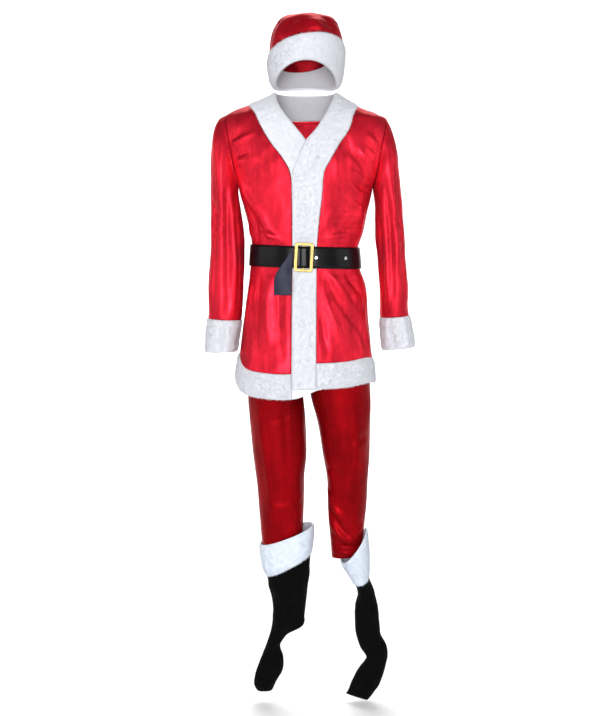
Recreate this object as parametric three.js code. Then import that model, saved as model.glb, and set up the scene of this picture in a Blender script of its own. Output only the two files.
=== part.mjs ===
// A santa suit as it hangs when worn: hat, belted jacket, trousers and boot covers.
// Millimetres, +Z up, the front faces -Y, +X is the wearer's left.
// The origin is the middle of the neck at the height of the shoulders.
import * as THREE from 'three';

// ---------------------------------------------------------------- driving sizes
const CLOTH = 2; // wall of the velvet panels
const FUR_PROUD = 5; // how far the fur stands out from the velvet beside it
const BOOT_CLOTH = 1.6;
const SEAM_GAP = 0.4; // between two pieces sewn together
const HALF_SEAM = SEAM_GAP / 2;
const BODY_POWER = 2.3; // a superellipse: 2 is an ellipse, more is squarer
const TUBE_POWER = 2.2;

const BELT_HEIGHT = 55;
const BELT_CLOTH = 2.2;
const BUCKLE = { width: 47, height: 71, side: 8, end: 6.5, thick: 4, lean: 3, bevel: 0.8 };
const EYELET = { radius: 4.2, hole: 1.8, thick: 1 };

const WAIST_Z = -395; // the belt's middle line
const HEM_SEAM_Z = -652; // level of the hem band's top edge, before it drops
const HEM_BAND = 67;

// ---------------------------------------------------------------- materials
const look = (color, roughness, metalness = 0) =>
  new THREE.MeshStandardMaterial({ color, roughness, metalness });
const VELVET = look(0xd41f34, 0.5);
const DARK_VELVET = look(0xa90f18, 0.55);
const FUR_WHITE = look(0xf2f4fa, 0.95);
const BOOT_BLACK = look(0x0d0d0d, 0.9);
const BELT_BLACK = look(0x15151a, 0.3);
const BRASS = look(0xae9665, 0.35, 1);
const STEEL = look(0xc8ccd2, 0.25, 1);

// ---------------------------------------------------------------- small maths
const { degToRad, lerp, smoothstep } = THREE.MathUtils;
const signedPower = (value, power) => Math.sign(value) * Math.abs(value) ** power;

/** Numbers from a to b in equal steps, both ends included. */
function steps(a, b, count) {
  return Array.from({ length: count + 1 }, (_, i) => lerp(a, b, i / count));
}

/** A smooth curve through a table's rows: gives every column at any value of its key column. */
function through(rows, key) {
  const names = Object.keys(rows[0]).filter((name) => name !== key);
  const forward = rows[rows.length - 1][key] > rows[0][key] ? 1 : -1;
  const slope = (i, name) => {
    const a = rows[Math.max(i - 1, 0)];
    const b = rows[Math.min(i + 1, rows.length - 1)];
    return (b[name] - a[name]) / (b[key] - a[key]);
  };
  return (at) => {
    let i = 0;
    while (i < rows.length - 2 && (at - rows[i + 1][key]) * forward > 0) i += 1;
    const span = rows[i + 1][key] - rows[i][key];
    const t = (at - rows[i][key]) / span;
    const found = {};
    for (const name of names) {
      const [p, q] = [rows[i][name], rows[i + 1][name]];
      const [m, n] = [slope(i, name) * span, slope(i + 1, name) * span];
      found[name] = t < 0 ? p + m * t : t > 1 ? q + n * (t - 1)
        : (2 * t ** 3 - 3 * t * t + 1) * p + (t ** 3 - 2 * t * t + t) * m
          + (3 * t * t - 2 * t ** 3) * q + (t ** 3 - t * t) * n;
    }
    return found;
  };
}

/** The curve through rows whose key is their own number; last is the last row's. */
const numbered = (rows) =>
  Object.assign(through(rows.map((row, v) => ({ v, ...row })), 'v'), { last: rows.length - 1 });

/** A surface point moved out along the surface's normal. A surface takes (turn, v): turn in degrees
    runs from the right (+X) over the front (-Y), left and back, and v runs downwards. */
function movedOut(surface, turn, v, distance) {
  const point = surface(turn, v);
  const across = surface(turn + 0.4, v).sub(surface(turn - 0.4, v));
  const down = surface(turn, v + surface.step).sub(surface(turn, v - surface.step));
  return point.addScaledVector(across.cross(down).normalize(), distance);
}

// ---------------------------------------------------------------- walls
/** A closed wall of triangles. outer(i, j) and inner(i, j) give its two faces on a grid of
    across x down cells; a tube joins its first and last columns; tip closes the last row to a point. */
function wallMesh(name, material, { across, down, outer, inner, tube = false, tip = null }) {
  const columns = tube ? across : across + 1;
  const points = [];
  const triangles = [];
  const index = (face, i, j) => (face * (down + 1) + j) * columns + (i % columns);
  for (const face of [outer, inner]) {
    for (let j = 0; j <= down; j += 1) {
      for (let i = 0; i < columns; i += 1) points.push(face(i, j));
    }
  }
  const quad = (a, b, c, d) => triangles.push(a, b, c, a, c, d);
  for (let i = 0; i < across; i += 1) {
    for (let j = 0; j < down; j += 1) {
      quad(index(0, i, j), index(0, i + 1, j), index(0, i + 1, j + 1), index(0, i, j + 1));
      quad(index(1, i, j), index(1, i, j + 1), index(1, i + 1, j + 1), index(1, i + 1, j));
    }
    quad(index(0, i + 1, 0), index(0, i, 0), index(1, i, 0), index(1, i + 1, 0));
    if (!tip) quad(index(0, i, down), index(0, i + 1, down), index(1, i + 1, down), index(1, i, down));
  }
  if (!tube) {
    for (let j = 0; j < down; j += 1) {
      quad(index(0, 0, j), index(0, 0, j + 1), index(1, 0, j + 1), index(1, 0, j));
      quad(index(0, across, j + 1), index(0, across, j), index(1, across, j), index(1, across, j + 1));
    }
  }
  if (tip) {
    const first = points.length;
    points.push(tip.outer, tip.inner);
    for (let i = 0; i < across; i += 1) {
      triangles.push(index(0, i, down), index(0, i + 1, down), first);
      triangles.push(index(1, i + 1, down), index(1, i, down), first + 1);
    }
  }
  const geometry = new THREE.BufferGeometry().setFromPoints(points);
  geometry.setIndex(triangles);
  geometry.computeVertexNormals();
  const mesh = new THREE.Mesh(geometry, material);
  mesh.name = name;
  return mesh;
}

/** A wall on a surface: rows are its levels v, span(v) gives the turn at both of its edges, and
    outer and inner give how far its two faces stand off the surface there. crowd above 1 sets its
    columns closer together towards the second edge. */
function panel(name, material, surface, { rows, across, span, level, outer, inner, crowd = 1 }) {
  const place = (i, j) => {
    const [from, to] = span(rows[j]);
    const turn = lerp(from, to, 1 - (1 - i / across) ** crowd);
    return [turn, level ? level(turn, rows[j]) : rows[j]];
  };
  const face = (offset) => (i, j) => {
    const [turn, v] = place(i, j);
    return movedOut(surface, turn, v, typeof offset === 'function' ? offset(turn, v) : offset);
  };
  return wallMesh(name, material, {
    across, down: rows.length - 1, outer: face(outer), inner: face(inner),
  });
}

/** The surface of a limp tube: each row of its table gives the left and right ends of a section
    and how deep the section is, so that a section can lie at any slant. sag lowers the section's
    front and back. The third value moves a point out within its own section. */
function limpTube(rows) {
  const at = numbered(rows);
  const surface = (turn, v, out = 0) => {
    const row = at(v);
    const c = signedPower(Math.cos(degToRad(turn)), 2 / TUBE_POWER);
    const s = signedPower(Math.sin(degToRad(turn)), 2 / TUBE_POWER);
    const half = new THREE.Vector3(row.rightX - row.leftX, 0, row.rightZ - row.leftZ).divideScalar(2);
    const point = new THREE.Vector3(row.leftX, 0, row.leftZ).add(half);
    point.addScaledVector(half, c * (1 + out / half.length()));
    point.y -= s * (row.depth + out);
    point.z -= (row.sag ?? 0) * Math.abs(s);
    return point;
  };
  surface.last = rows.length - 1;
  return surface;
}

/** A wall on a limp tube: all round it, or from one turn to another and shifted in y. */
function tubeWall(name, material, surface, { rows, around, outer, inner, from = 0, to = 360, shift = 0 }) {
  const face = (out) => (i, j) => {
    const point = surface(lerp(from, to, i / around), rows[j], out);
    point.y += shift;
    return point;
  };
  return wallMesh(name, material, {
    across: around, down: rows.length - 1, outer: face(outer), inner: face(inner), tube: to - from === 360,
  });
}

// ---------------------------------------------------------------- the jacket's body
// Half sizes of the body's level sections, from the neck rim down to the hem.
const BODY = through([
  { z: 22, left: 72, right: 70, front: 40, back: 66 },
  { z: 4, left: 98, right: 92, front: 52, back: 76 },
  { z: -14, left: 142, right: 124, front: 64, back: 86 },
  { z: -28, left: 178, right: 157, front: 73, back: 93 },
  { z: -40, left: 205, right: 184, front: 80, back: 98 },
  { z: -48, left: 206, right: 202, front: 84, back: 101 },
  { z: -75, left: 201, right: 198, front: 93, back: 107 },
  { z: -110, left: 194, right: 191, front: 101, back: 112 },
  { z: -160, left: 184, right: 181, front: 110, back: 116 },
  { z: -223, left: 172, right: 170, front: 115, back: 114 },
  { z: -282, left: 156, right: 156, front: 112, back: 108 },
  { z: -333, left: 144, right: 146, front: 106, back: 100 },
  { z: -372, left: 139, right: 134, front: 102, back: 95 },
  { z: -418, left: 143, right: 137, front: 102, back: 96 },
  { z: -481, left: 150, right: 154, front: 107, back: 106 },
  { z: -559, left: 161, right: 161, front: 115, back: 114 },
  { z: -637, left: 171, right: 169, front: 122, back: 121 },
  { z: -700, left: 181, right: 177, front: 127, back: 125 },
  { z: -760, left: 185, right: 179, front: 129, back: 127 },
], 'z');

// Each armhole is a loop in a slanted plane, from the shoulder tip down to the armpit.
const ARMHOLES = {
  left: { tipX: 205, tipZ: -40, pitX: 172, pitZ: -223, depth: 56 },
  right: { tipX: 202, tipZ: -48, pitX: 170, pitZ: -223, depth: 56 },
};

/** Half the armhole's depth and its distance from the middle at a level, or null outside it. */
function armholeAt(side, z) {
  const hole = ARMHOLES[side];
  const middle = (hole.tipZ + hole.pitZ) / 2;
  const k = Math.abs((z - middle) / (hole.tipZ - middle));
  if (k >= 1) return null;
  return {
    depth: hole.depth * (1 - k ** TUBE_POWER) ** (1 / TUBE_POWER),
    x: lerp(hole.pitX, hole.tipX, (z - hole.pitZ) / (hole.tipZ - hole.pitZ)),
  };
}

/** Half sizes of the body at a level, on one side and face. Beside an armhole the section is
    widened so that it passes through the armhole's edge. */
function bodyHalf(side, face, z) {
  const row = BODY(z);
  const hole = armholeAt(side, z);
  const width = hole
    ? hole.x / (1 - (hole.depth / row[face]) ** BODY_POWER) ** (1 / BODY_POWER)
    : row[side];
  return { width, depth: row[face] };
}

const body = (turn, z) => {
  const [c, s] = [Math.cos(degToRad(turn)), Math.sin(degToRad(turn))];
  const half = bodyHalf(c < 0 ? 'left' : 'right', s < 0 ? 'back' : 'front', z);
  return new THREE.Vector3(
    half.width * signedPower(c, 2 / BODY_POWER),
    -half.depth * signedPower(s, 2 / BODY_POWER),
    z,
  );
};
body.step = -0.8;

/** The turn at which the front of the body is x from the middle. */
function turnAtX(x, z) {
  const { width } = bodyHalf(x < 0 ? 'left' : 'right', 'front', z);
  const share = Math.min(Math.abs(x) / width, 1) ** (BODY_POWER / 2);
  return 90 - Math.sign(x) * THREE.MathUtils.radToDeg(Math.asin(share));
}

/** How far short of the side seam, in degrees, the section is still y deep. */
function turnAtDepth(side, face, y, z) {
  const { depth } = bodyHalf(side, face, z);
  return THREE.MathUtils.radToDeg(Math.asin((y / depth) ** (BODY_POWER / 2)));
}

/** The turn from the side seam to a panel's edge there: the seam's gap, or the armhole. */
const sideTurn = (side, face, z) =>
  turnAtDepth(side, face, Math.max(armholeAt(side, z)?.depth ?? 0, HALF_SEAM), z);

// Where the front velvet ends and its fur band starts (seam), and the fur's free edge, in x.
const RIGHT_FRONT = through([
  { z: 20, seam: -100, free: -77 },
  { z: -14, seam: -141, free: -67 },
  { z: -40, seam: -127, free: -52 },
  { z: -73, seam: -112, free: -26 },
  { z: -112, seam: -89, free: 4 },
  { z: -150, seam: -60, free: 22 },
  { z: -187, seam: -40, free: 28 },
  { z: -240, seam: -36, free: 28 },
  { z: -365, seam: -35, free: 26 },
  { z: -560, seam: -36, free: 34 },
  { z: -760, seam: -36, free: 44 },
], 'z');
const LEFT_FRONT = through([
  { z: 20, seam: 95, free: 74 },
  { z: -16, seam: 128, free: 58 },
  { z: -40, seam: 118, free: 46 },
  { z: -80, seam: 106, free: 22 },
  { z: -116, seam: 82, free: -8 },
  { z: -158, seam: 58, free: -25 },
  { z: -187, seam: 43, free: -36 },
  { z: -240, seam: 38, free: -36 },
  { z: -303, seam: 31, free: -36 },
  { z: -365, seam: 26, free: -36 },
  { z: -560, seam: 24, free: -36 },
  { z: -760, seam: 24, free: -36 },
], 'z');

// How much lower the hem hangs than its level line, round the body.
const HEM_DROP = {
  under: through([
    { turn: 50, drop: 8 }, { turn: 82, drop: 8 }, { turn: 96, drop: 30 },
    { turn: 125, drop: 31 }, { turn: 150, drop: 22 }, { turn: 180, drop: -8 }, { turn: 215, drop: 0 },
  ], 'turn'),
  over: through([
    { turn: -30, drop: 10 }, { turn: 0, drop: 4 }, { turn: 30, drop: -3 },
    { turn: 60, drop: 3 }, { turn: 100, drop: 6 },
  ], 'turn'),
  back: through([
    { turn: 180, drop: -8 }, { turn: 215, drop: 2 }, { turn: 270, drop: 8 },
    { turn: 325, drop: 8 }, { turn: 360, drop: 4 },
  ], 'turn'),
};

/** Below the waist every level line leans down to the hem, more the lower it is. */
function hung(face) {
  return (turn, z) => {
    const share = THREE.MathUtils.clamp((WAIST_Z - z) / (WAIST_Z - HEM_SEAM_Z), 0, 1);
    return z - HEM_DROP[face](turn).drop * share;
  };
}

// Where the wearer's left front laps over the right one it lies on the fur beneath it.
const UNDER_BAND = 3; // how far the band beneath stands out where it is lapped over
const LAP_GAP = 1.4;
const LAP_TOP_Z = -100;
const LAP_RISE = 70; // the height over which the lap starts, below its top
const LAP_FADE = { from: 55, to: 112 }; // in x, where the upper front comes down to the body again
/** How far the upper front is lifted: all over the lap, fading out towards the side. */
function lapLift(turn, z) {
  const x = body(turn, z).x;
  const started = 1 - smoothstep(z, LAP_TOP_Z, LAP_TOP_Z + LAP_RISE);
  return (UNDER_BAND + CLOTH + LAP_GAP) * (1 - smoothstep(x, LAP_FADE.from, LAP_FADE.to)) * started;
}
/** The fur is pressed flat under the belt: 1 there, and 0 away from its edges. */
const PRESS = { full: 36, none: 60 };
const beltPress = (z) => 1 - smoothstep(Math.abs(z - WAIST_Z), PRESS.full, PRESS.none);

const BODY_ROWS = [...steps(-19, -47, 3), ...steps(-70, -223, 6), -282, -335,
  ...steps(-360, -430, 2), -465, ...steps(-525, HEM_SEAM_Z, 2)];
const HEM_ROWS = steps(HEM_SEAM_Z - SEAM_GAP, HEM_SEAM_Z - HEM_BAND, 2);
const BAND_ROWS = [18, 0, ...BODY_ROWS, ...HEM_ROWS.slice(1)];
const BACK_COLUMNS = 12; // across the jacket's back

function jacketFronts() {
  const rows = BODY_ROWS;
  const right = panel('jacket_front_right', VELVET, body, {
    rows, across: 5, level: hung('under'), outer: 0, inner: -CLOTH,
    span: (z) => [turnAtX(RIGHT_FRONT(z).seam - SEAM_GAP, z), 180 - sideTurn('left', 'front', z)],
  });
  const left = panel('jacket_front_left', VELVET, body, {
    rows, across: 6, crowd: 1.7, level: hung('over'), outer: lapLift,
    inner: (turn, z) => lapLift(turn, z) - CLOTH,
    span: (z) => [sideTurn('right', 'front', z), turnAtX(LEFT_FRONT(z).seam + SEAM_GAP, z)],
  });
  return [right, left];
}

/** The line on which the back meets its fur collar: from the shoulder seams down to the nape. */
const collarSeamZ = (turn) => lerp(-19, -44, Math.max(-Math.sin(degToRad(turn)), 0) ** 0.8);
const backSpan = (z) => [180 + sideTurn('left', 'back', z), 360 - sideTurn('right', 'back', z)];

function jacketBack() {
  const hang = hung('back');
  return panel('jacket_back', VELVET, body, {
    rows: BODY_ROWS, across: BACK_COLUMNS, span: backSpan, outer: 0, inner: -CLOTH,
    level: (turn, z) => {
      const yoke = smoothstep(z, -62, BODY_ROWS[0]);
      return hang(turn, z) + yoke * (collarSeamZ(turn) - BODY_ROWS[0]);
    },
  });
}

function furBands() {
  const rows = BAND_ROWS;
  const rightEnd = (z) => Math.min(turnAtX(RIGHT_FRONT(z).seam, z), 180 - sideTurn('left', 'front', z));
  const leftEnd = (z) => Math.max(turnAtX(LEFT_FRONT(z).seam, z), sideTurn('right', 'front', z));
  const thin = (z) => lerp(UNDER_BAND, FUR_PROUD, smoothstep(z, LAP_TOP_Z, LAP_TOP_Z + 40));
  const under = panel('front_band_right', FUR_WHITE, body, {
    rows, across: 2, level: hung('under'), outer: (turn, z) => thin(z), inner: -CLOTH,
    span: (z) => [turnAtX(RIGHT_FRONT(z).free, z), rightEnd(z)],
  });
  const over = panel('front_band_left', FUR_WHITE, body, {
    rows, across: 2, level: hung('over'),
    outer: (turn, z) => lapLift(turn, z) + lerp(FUR_PROUD, 1, beltPress(z)),
    inner: (turn, z) => lapLift(turn, z) - CLOTH,
    span: (z) => [leftEnd(z), turnAtX(LEFT_FRONT(z).free, z)],
  });
  return [under, over];
}

function backCollar() {
  const rimZ = 20;
  const levelAt = (turn, share) => lerp(rimZ, collarSeamZ(turn) + 2 * SEAM_GAP, share);
  return panel('collar_back', FUR_WHITE, body, {
    rows: steps(0, 1, 3), across: BACK_COLUMNS, outer: FUR_PROUD, inner: -CLOTH,
    level: levelAt, span: (share) => backSpan(levelAt(180, share)),
  });
}

function hemBands() {
  const band = (name, face, across, span, lift, crowd) => panel(name, FUR_WHITE, body, {
    rows: HEM_ROWS, across, crowd, level: hung(face), span,
    outer: (turn, z) => lift(turn, z) + FUR_PROUD,
    inner: (turn, z) => lift(turn, z) - CLOTH,
  });
  const flat = () => 0;
  return [
    band('hem_band_back', 'back', BACK_COLUMNS, backSpan, flat),
    band('hem_band_right', 'under', 5,
      (z) => [turnAtX(RIGHT_FRONT(z).seam - SEAM_GAP, z), 180 - sideTurn('left', 'front', z)], flat),
    band('hem_band_left', 'over', 6,
      (z) => [sideTurn('right', 'front', z), turnAtX(LEFT_FRONT(z).seam + SEAM_GAP, z)], lapLift, 1.7),
  ];
}

// ---------------------------------------------------------------- sleeves
// Sections from the armhole, turning about the armpit, down to the cuff's end.
const RIGHT_SLEEVE = limpTube([
  { leftX: -206.2, leftZ: -39.7, rightX: -173, rightZ: -223.3, depth: 56 },
  { leftX: -224, leftZ: -55, rightX: -172.8, rightZ: -228, depth: 61 },
  { leftX: -237, leftZ: -88, rightX: -172.6, rightZ: -236, depth: 65 },
  { leftX: -242, leftZ: -140, rightX: -171, rightZ: -250, depth: 67 },
  { leftX: -242, leftZ: -208, rightX: -169, rightZ: -272, depth: 66 },
  { leftX: -242, leftZ: -280, rightX: -167, rightZ: -310, depth: 64 },
  { leftX: -244, leftZ: -350, rightX: -163, rightZ: -362, depth: 61 },
  { leftX: -246, leftZ: -420, rightX: -161, rightZ: -424, depth: 58 },
  { leftX: -250, leftZ: -488, rightX: -162, rightZ: -490, depth: 55 },
  { leftX: -253, leftZ: -553, rightX: -168, rightZ: -557, depth: 53 },
  { leftX: -257, leftZ: -598, rightX: -175, rightZ: -599, depth: 54 },
  { leftX: -260, leftZ: -642, rightX: -181, rightZ: -641, depth: 55 },
]);
const LEFT_SLEEVE = limpTube([
  { leftX: 171, leftZ: -223.3, rightX: 203.2, rightZ: -47.7, depth: 56 },
  { leftX: 171, leftZ: -228, rightX: 217, rightZ: -77, depth: 61 },
  { leftX: 172, leftZ: -237, rightX: 229, rightZ: -118, depth: 65 },
  { leftX: 174, leftZ: -253, rightX: 236, rightZ: -170, depth: 67 },
  { leftX: 177, leftZ: -277, rightX: 242, rightZ: -230, depth: 66 },
  { leftX: 181, leftZ: -316, rightX: 248, rightZ: -292, depth: 64 },
  { leftX: 185, leftZ: -368, rightX: 253, rightZ: -358, depth: 61 },
  { leftX: 188, leftZ: -428, rightX: 257, rightZ: -425, depth: 58 },
  { leftX: 191, leftZ: -490, rightX: 262, rightZ: -488, depth: 55 },
  { leftX: 193, leftZ: -551, rightX: 266, rightZ: -545, depth: 52 },
  { leftX: 196, leftZ: -594, rightX: 274, rightZ: -588, depth: 51 },
  { leftX: 200, leftZ: -638, rightX: 281, rightZ: -628, depth: 50 },
]);
const CUFF_ROW = 9; // the table row at which a sleeve ends and its cuff starts
const SLEEVE_COLUMNS = 14;

function sleeves() {
  const made = [];
  for (const [side, surface] of [['right', RIGHT_SLEEVE], ['left', LEFT_SLEEVE]]) {
    made.push(tubeWall(`sleeve_${side}`, VELVET, surface, {
      rows: [...steps(0, 3, 4), ...steps(4, CUFF_ROW, 5)], around: SLEEVE_COLUMNS, outer: 0, inner: -CLOTH,
    }));
    made.push(tubeWall(`cuff_${side}`, FUR_WHITE, surface, {
      rows: steps(CUFF_ROW + 0.01, surface.last, 3), around: SLEEVE_COLUMNS, outer: FUR_PROUD, inner: -CLOTH,
    }));
  }
  return made;
}

// ---------------------------------------------------------------- belt
const beltMiddle = (x) => WAIST_Z - 0.03 * x;
const BELT_OFF = 2; // the strap's inner face off the velvet
const BELT_OVER_FUR = 8.8; // and where it crosses the lapped fur
/** How far the strap's inner face stands off the jacket: it crosses the lapped fur at the front. */
function strapOff(turn, z) {
  const x = body(turn, z).x;
  const front = Math.sin(degToRad(turn)) > 0;
  const hill = front ? smoothstep(x, -100, -42) * (1 - smoothstep(x, 40, 122)) : 0;
  return lerp(BELT_OFF, BELT_OVER_FUR, hill);
}
/** A point off the strap's inner face: share runs from its top edge to its bottom edge. */
function onStrap(turn, share, off) {
  const edge = (side) => {
    const z = beltMiddle(body(turn, WAIST_Z).x) + (side * BELT_HEIGHT) / 2;
    return movedOut(body, turn, z, strapOff(turn, WAIST_Z) + off);
  };
  return edge(1).lerp(edge(-1), share);
}
const BUCKLE_X = -6;
const BUCKLE_OFF = 5.6; // the frame's back face off the strap's inner one, over two layers of strap
const BAR = { width: 5, thick: 1.6, off: 2.7 };

function belt() {
  const start = turnAtX(BUCKLE_X - BAR.width / 2 - 1.5, WAIST_Z);
  const endX = BUCKLE_X - BUCKLE.width / 2 - 2;
  const atBuckle = steps(24, endX, 14).map((x) => 360 + turnAtX(x, WAIST_Z));
  const along = [...steps(start, 134, 9), ...steps(142, 398, 32), ...steps(404, 360 + 72, 7), ...atBuckle];
  // Near its free end the strap climbs over the buckle's bar and then lies on its own other end.
  const climb = (turn) => {
    if (turn < 360 + 45) return 0;
    const { x } = body(turn - 360, WAIST_Z);
    const overBar = smoothstep(-Math.abs(x - BUCKLE_X), -13, -5);
    const overEnd = (BELT_CLOTH + SEAM_GAP) * smoothstep(-x, 8, 18);
    return Math.max(overEnd, (BAR.off + BAR.thick + SEAM_GAP) * overBar);
  };
  const face = (off) => (i, j) => onStrap(along[i] % 360, j, climb(along[i]) + off);
  return wallMesh('belt_strap', BELT_BLACK, {
    across: along.length - 1, down: 1, outer: face(BELT_CLOTH), inner: face(0),
  });
}

// The strap's free end: folded on the slant beside the buckle, it hangs down flat.
const TAIL = numbered([
  { z: -380, leftX: -37, rightX: -33, off: 14.6, layers: 1 },
  { z: -402, leftX: -49, rightX: -33, off: 15.5, layers: 1.6 },
  { z: -427, leftX: -64, rightX: -34, off: 16, layers: 1.8 },
  { z: -450, leftX: -74, rightX: -35, off: 16, layers: 1.2 },
  { z: -490, leftX: -75, rightX: -36, off: 16, layers: 1 },
]);

function beltTail() {
  const [across, down] = [3, 8];
  const face = (side) => (i, j) => {
    const row = TAIL((j / down) * TAIL.last);
    const x = lerp(row.rightX, row.leftX, i / across);
    return movedOut(body, turnAtX(x, row.z), row.z, row.off + side * BELT_CLOTH * row.layers);
  };
  return wallMesh('belt_tail', BELT_BLACK, { across, down, outer: face(0.6), inner: face(-0.4) });
}

function roundedRect(width, height, radius) {
  const [w, h] = [width / 2, height / 2];
  return new THREE.Shape()
    .moveTo(-w + radius, -h).lineTo(w - radius, -h).absarc(w - radius, -h + radius, radius, -Math.PI / 2, 0)
    .lineTo(w, h - radius).absarc(w - radius, h - radius, radius, 0, Math.PI / 2)
    .lineTo(-w + radius, h).absarc(-w + radius, h - radius, radius, Math.PI / 2, Math.PI)
    .lineTo(-w, -h + radius).absarc(-w + radius, -h + radius, radius, Math.PI, Math.PI * 1.5);
}

/** Stands a piece drawn in XY upright at x on the belt, off its inner face, with its +Z facing out. */
function facingOut(mesh, x, off, lean = 0) {
  const turn = turnAtX(x, WAIST_Z);
  const along = onStrap(turn + 1, 0.5, off).sub(onStrap(turn - 1, 0.5, off));
  const normal = along.cross(new THREE.Vector3(0, 0, -1)).setZ(0).normalize();
  const point = onStrap(turn, 0.5, off);
  mesh.up.set(0, 0, 1);
  mesh.position.copy(point);
  mesh.lookAt(point.clone().add(normal));
  mesh.rotateZ(-degToRad(lean));
  return mesh;
}

function buckle() {
  const outline = roundedRect(BUCKLE.width, BUCKLE.height, 6);
  outline.holes.push(roundedRect(BUCKLE.width - 2 * BUCKLE.side, BUCKLE.height - 2 * BUCKLE.end, 3));
  const { bevel, thick } = BUCKLE;
  const frame = new THREE.Mesh(new THREE.ExtrudeGeometry(outline, {
    depth: thick - 2 * bevel, curveSegments: 5,
    bevelThickness: bevel, bevelSize: bevel, bevelOffset: -bevel, bevelSegments: 2,
  }), BRASS);
  frame.name = 'buckle_frame';
  const rod = new THREE.Mesh(
    new THREE.BoxGeometry(BAR.width, BUCKLE.height - 2 * BUCKLE.end - 1, BAR.thick), BRASS);
  rod.name = 'buckle_bar';
  return [
    facingOut(frame, BUCKLE_X, BUCKLE_OFF + bevel, BUCKLE.lean),
    facingOut(rod, BUCKLE_X, BAR.off + BAR.thick / 2, BUCKLE.lean),
  ];
}

function eyelets() {
  const { radius, hole, thick } = EYELET;
  const places = { near: 23, far: 93 };
  const ring = [[hole, 0], [radius, 0], [radius, thick * 0.6], [radius - 0.8, thick],
    [hole + 0.6, thick], [hole, thick * 0.6], [hole, 0]].map(([r, h]) => new THREE.Vector2(r, h));
  return Object.entries(places).map(([name, x]) => {
    const geometry = new THREE.LatheGeometry(ring, 20).rotateX(Math.PI / 2);
    const mesh = new THREE.Mesh(geometry, STEEL);
    mesh.name = `eyelet_${name}`;
    return facingOut(mesh, x, BELT_CLOTH + SEAM_GAP);
  });
}

// ---------------------------------------------------------------- trousers
// Half sizes round both hips, then each leg's outer and inner edges down to its end.
const LEGS = {
  right: {
    sign: -1,
    at: through([
      { z: -372, out: 126, in: 0, front: 86, back: 82 },
      { z: -440, out: 132, in: 0, front: 88, back: 88 },
      { z: -520, out: 143, in: 0, front: 92, back: 98 },
      { z: -600, out: 149, in: 0, front: 93, back: 102 },
      { z: -680, out: 151, in: 4, front: 90, back: 98 },
      { z: -753, out: 151, in: 8, front: 84, back: 90 },
      { z: -821, out: 146, in: 1, front: 76, back: 82 },
      { z: -901, out: 139, in: -2, front: 69, back: 74 },
      { z: -968, out: 131, in: 4, front: 64, back: 68 },
      { z: -1035, out: 124, in: 5, front: 59, back: 62 },
      { z: -1116, out: 119, in: 8, front: 53, back: 56 },
      { z: -1180, out: 112, in: 12, front: 46, back: 48 },
    ], 'z'),
    hemOut: -1178, hemIn: -1140,
  },
  left: {
    sign: 1,
    at: through([
      { z: -372, out: 124, in: 0, front: 86, back: 82 },
      { z: -440, out: 130, in: 0, front: 88, back: 88 },
      { z: -520, out: 146, in: 0, front: 92, back: 98 },
      { z: -600, out: 154, in: 0, front: 93, back: 102 },
      { z: -680, out: 163, in: 4, front: 90, back: 98 },
      { z: -753, out: 167, in: 12, front: 83, back: 90 },
      { z: -835, out: 168, in: 32, front: 74, back: 80 },
      { z: -914, out: 166, in: 45, front: 66, back: 71 },
      { z: -981, out: 162, in: 56, front: 60, back: 64 },
      { z: -1062, out: 158, in: 58, front: 53, back: 56 },
      { z: -1144, out: 150, in: 65, front: 43, back: 44 },
      { z: -1190, out: 146, in: 69, front: 37, back: 38 },
    ], 'z'),
    hemOut: -1176, hemIn: -1188,
  },
};
const WAISTBAND = { top: -338, bottom: -372 };
const CROTCH = { top: -560, bottom: -724 };

/** A leg's surface: u runs from the outer side seam over the front or back to the centre seam and,
    below the crotch, to the inner leg seam. A quarter of the hips' section grows into half a tube. */
function legSurface(leg, face) {
  const facing = face === 'front' ? -1 : 1;
  const surface = (u, z) => {
    const row = leg.at(z);
    const tube = smoothstep(-z, -CROTCH.top, -CROTCH.bottom);
    const [quarter, half] = [degToRad(90 * u), degToRad(180 * u)];
    const middle = (row.out + row.in) / 2;
    const radius = (row.out - row.in) / 2;
    const power = 2 / TUBE_POWER;
    const x = lerp(row.out * signedPower(Math.cos(quarter), power),
      middle + radius * signedPower(Math.cos(half), power), tube);
    const y = row[face] * lerp(signedPower(Math.sin(quarter), power),
      signedPower(Math.sin(half), power), tube);
    return new THREE.Vector3(leg.sign * (x + HALF_SEAM), facing * (y + HALF_SEAM), z);
  };
  return surface;
}

function legPanel(name, leg, face, around = 6) {
  const surface = legSurface(leg, face);
  const outwards = leg.sign * (face === 'front' ? 1 : -1);
  const rows = [...steps(0, 0.42, 5), ...steps(0.5, 1, 6)];
  const place = (i, j) => {
    const u = i / around;
    const hem = lerp(leg.hemOut, leg.hemIn, u);
    return [u, lerp(WAISTBAND.bottom - SEAM_GAP, hem, rows[j])];
  };
  const faceAt = (distance) => (i, j) => {
    const [u, z] = place(i, j);
    const [a, b] = [Math.max(u - 0.01, 0.002), Math.min(u + 0.01, 0.998)];
    const across = surface(b, z).sub(surface(a, z));
    const down = surface(u, z - 1).sub(surface(u, z + 1));
    return surface(u, z).addScaledVector(across.cross(down).normalize(), outwards * distance);
  };
  const [outer, inner] = [faceAt(0), faceAt(-CLOTH)];
  const flip = outwards < 0;
  return wallMesh(name, DARK_VELVET, {
    across: around, down: rows.length - 1,
    outer: flip ? (i, j) => outer(around - i, j) : outer,
    inner: flip ? (i, j) => inner(around - i, j) : inner,
  });
}

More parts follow.
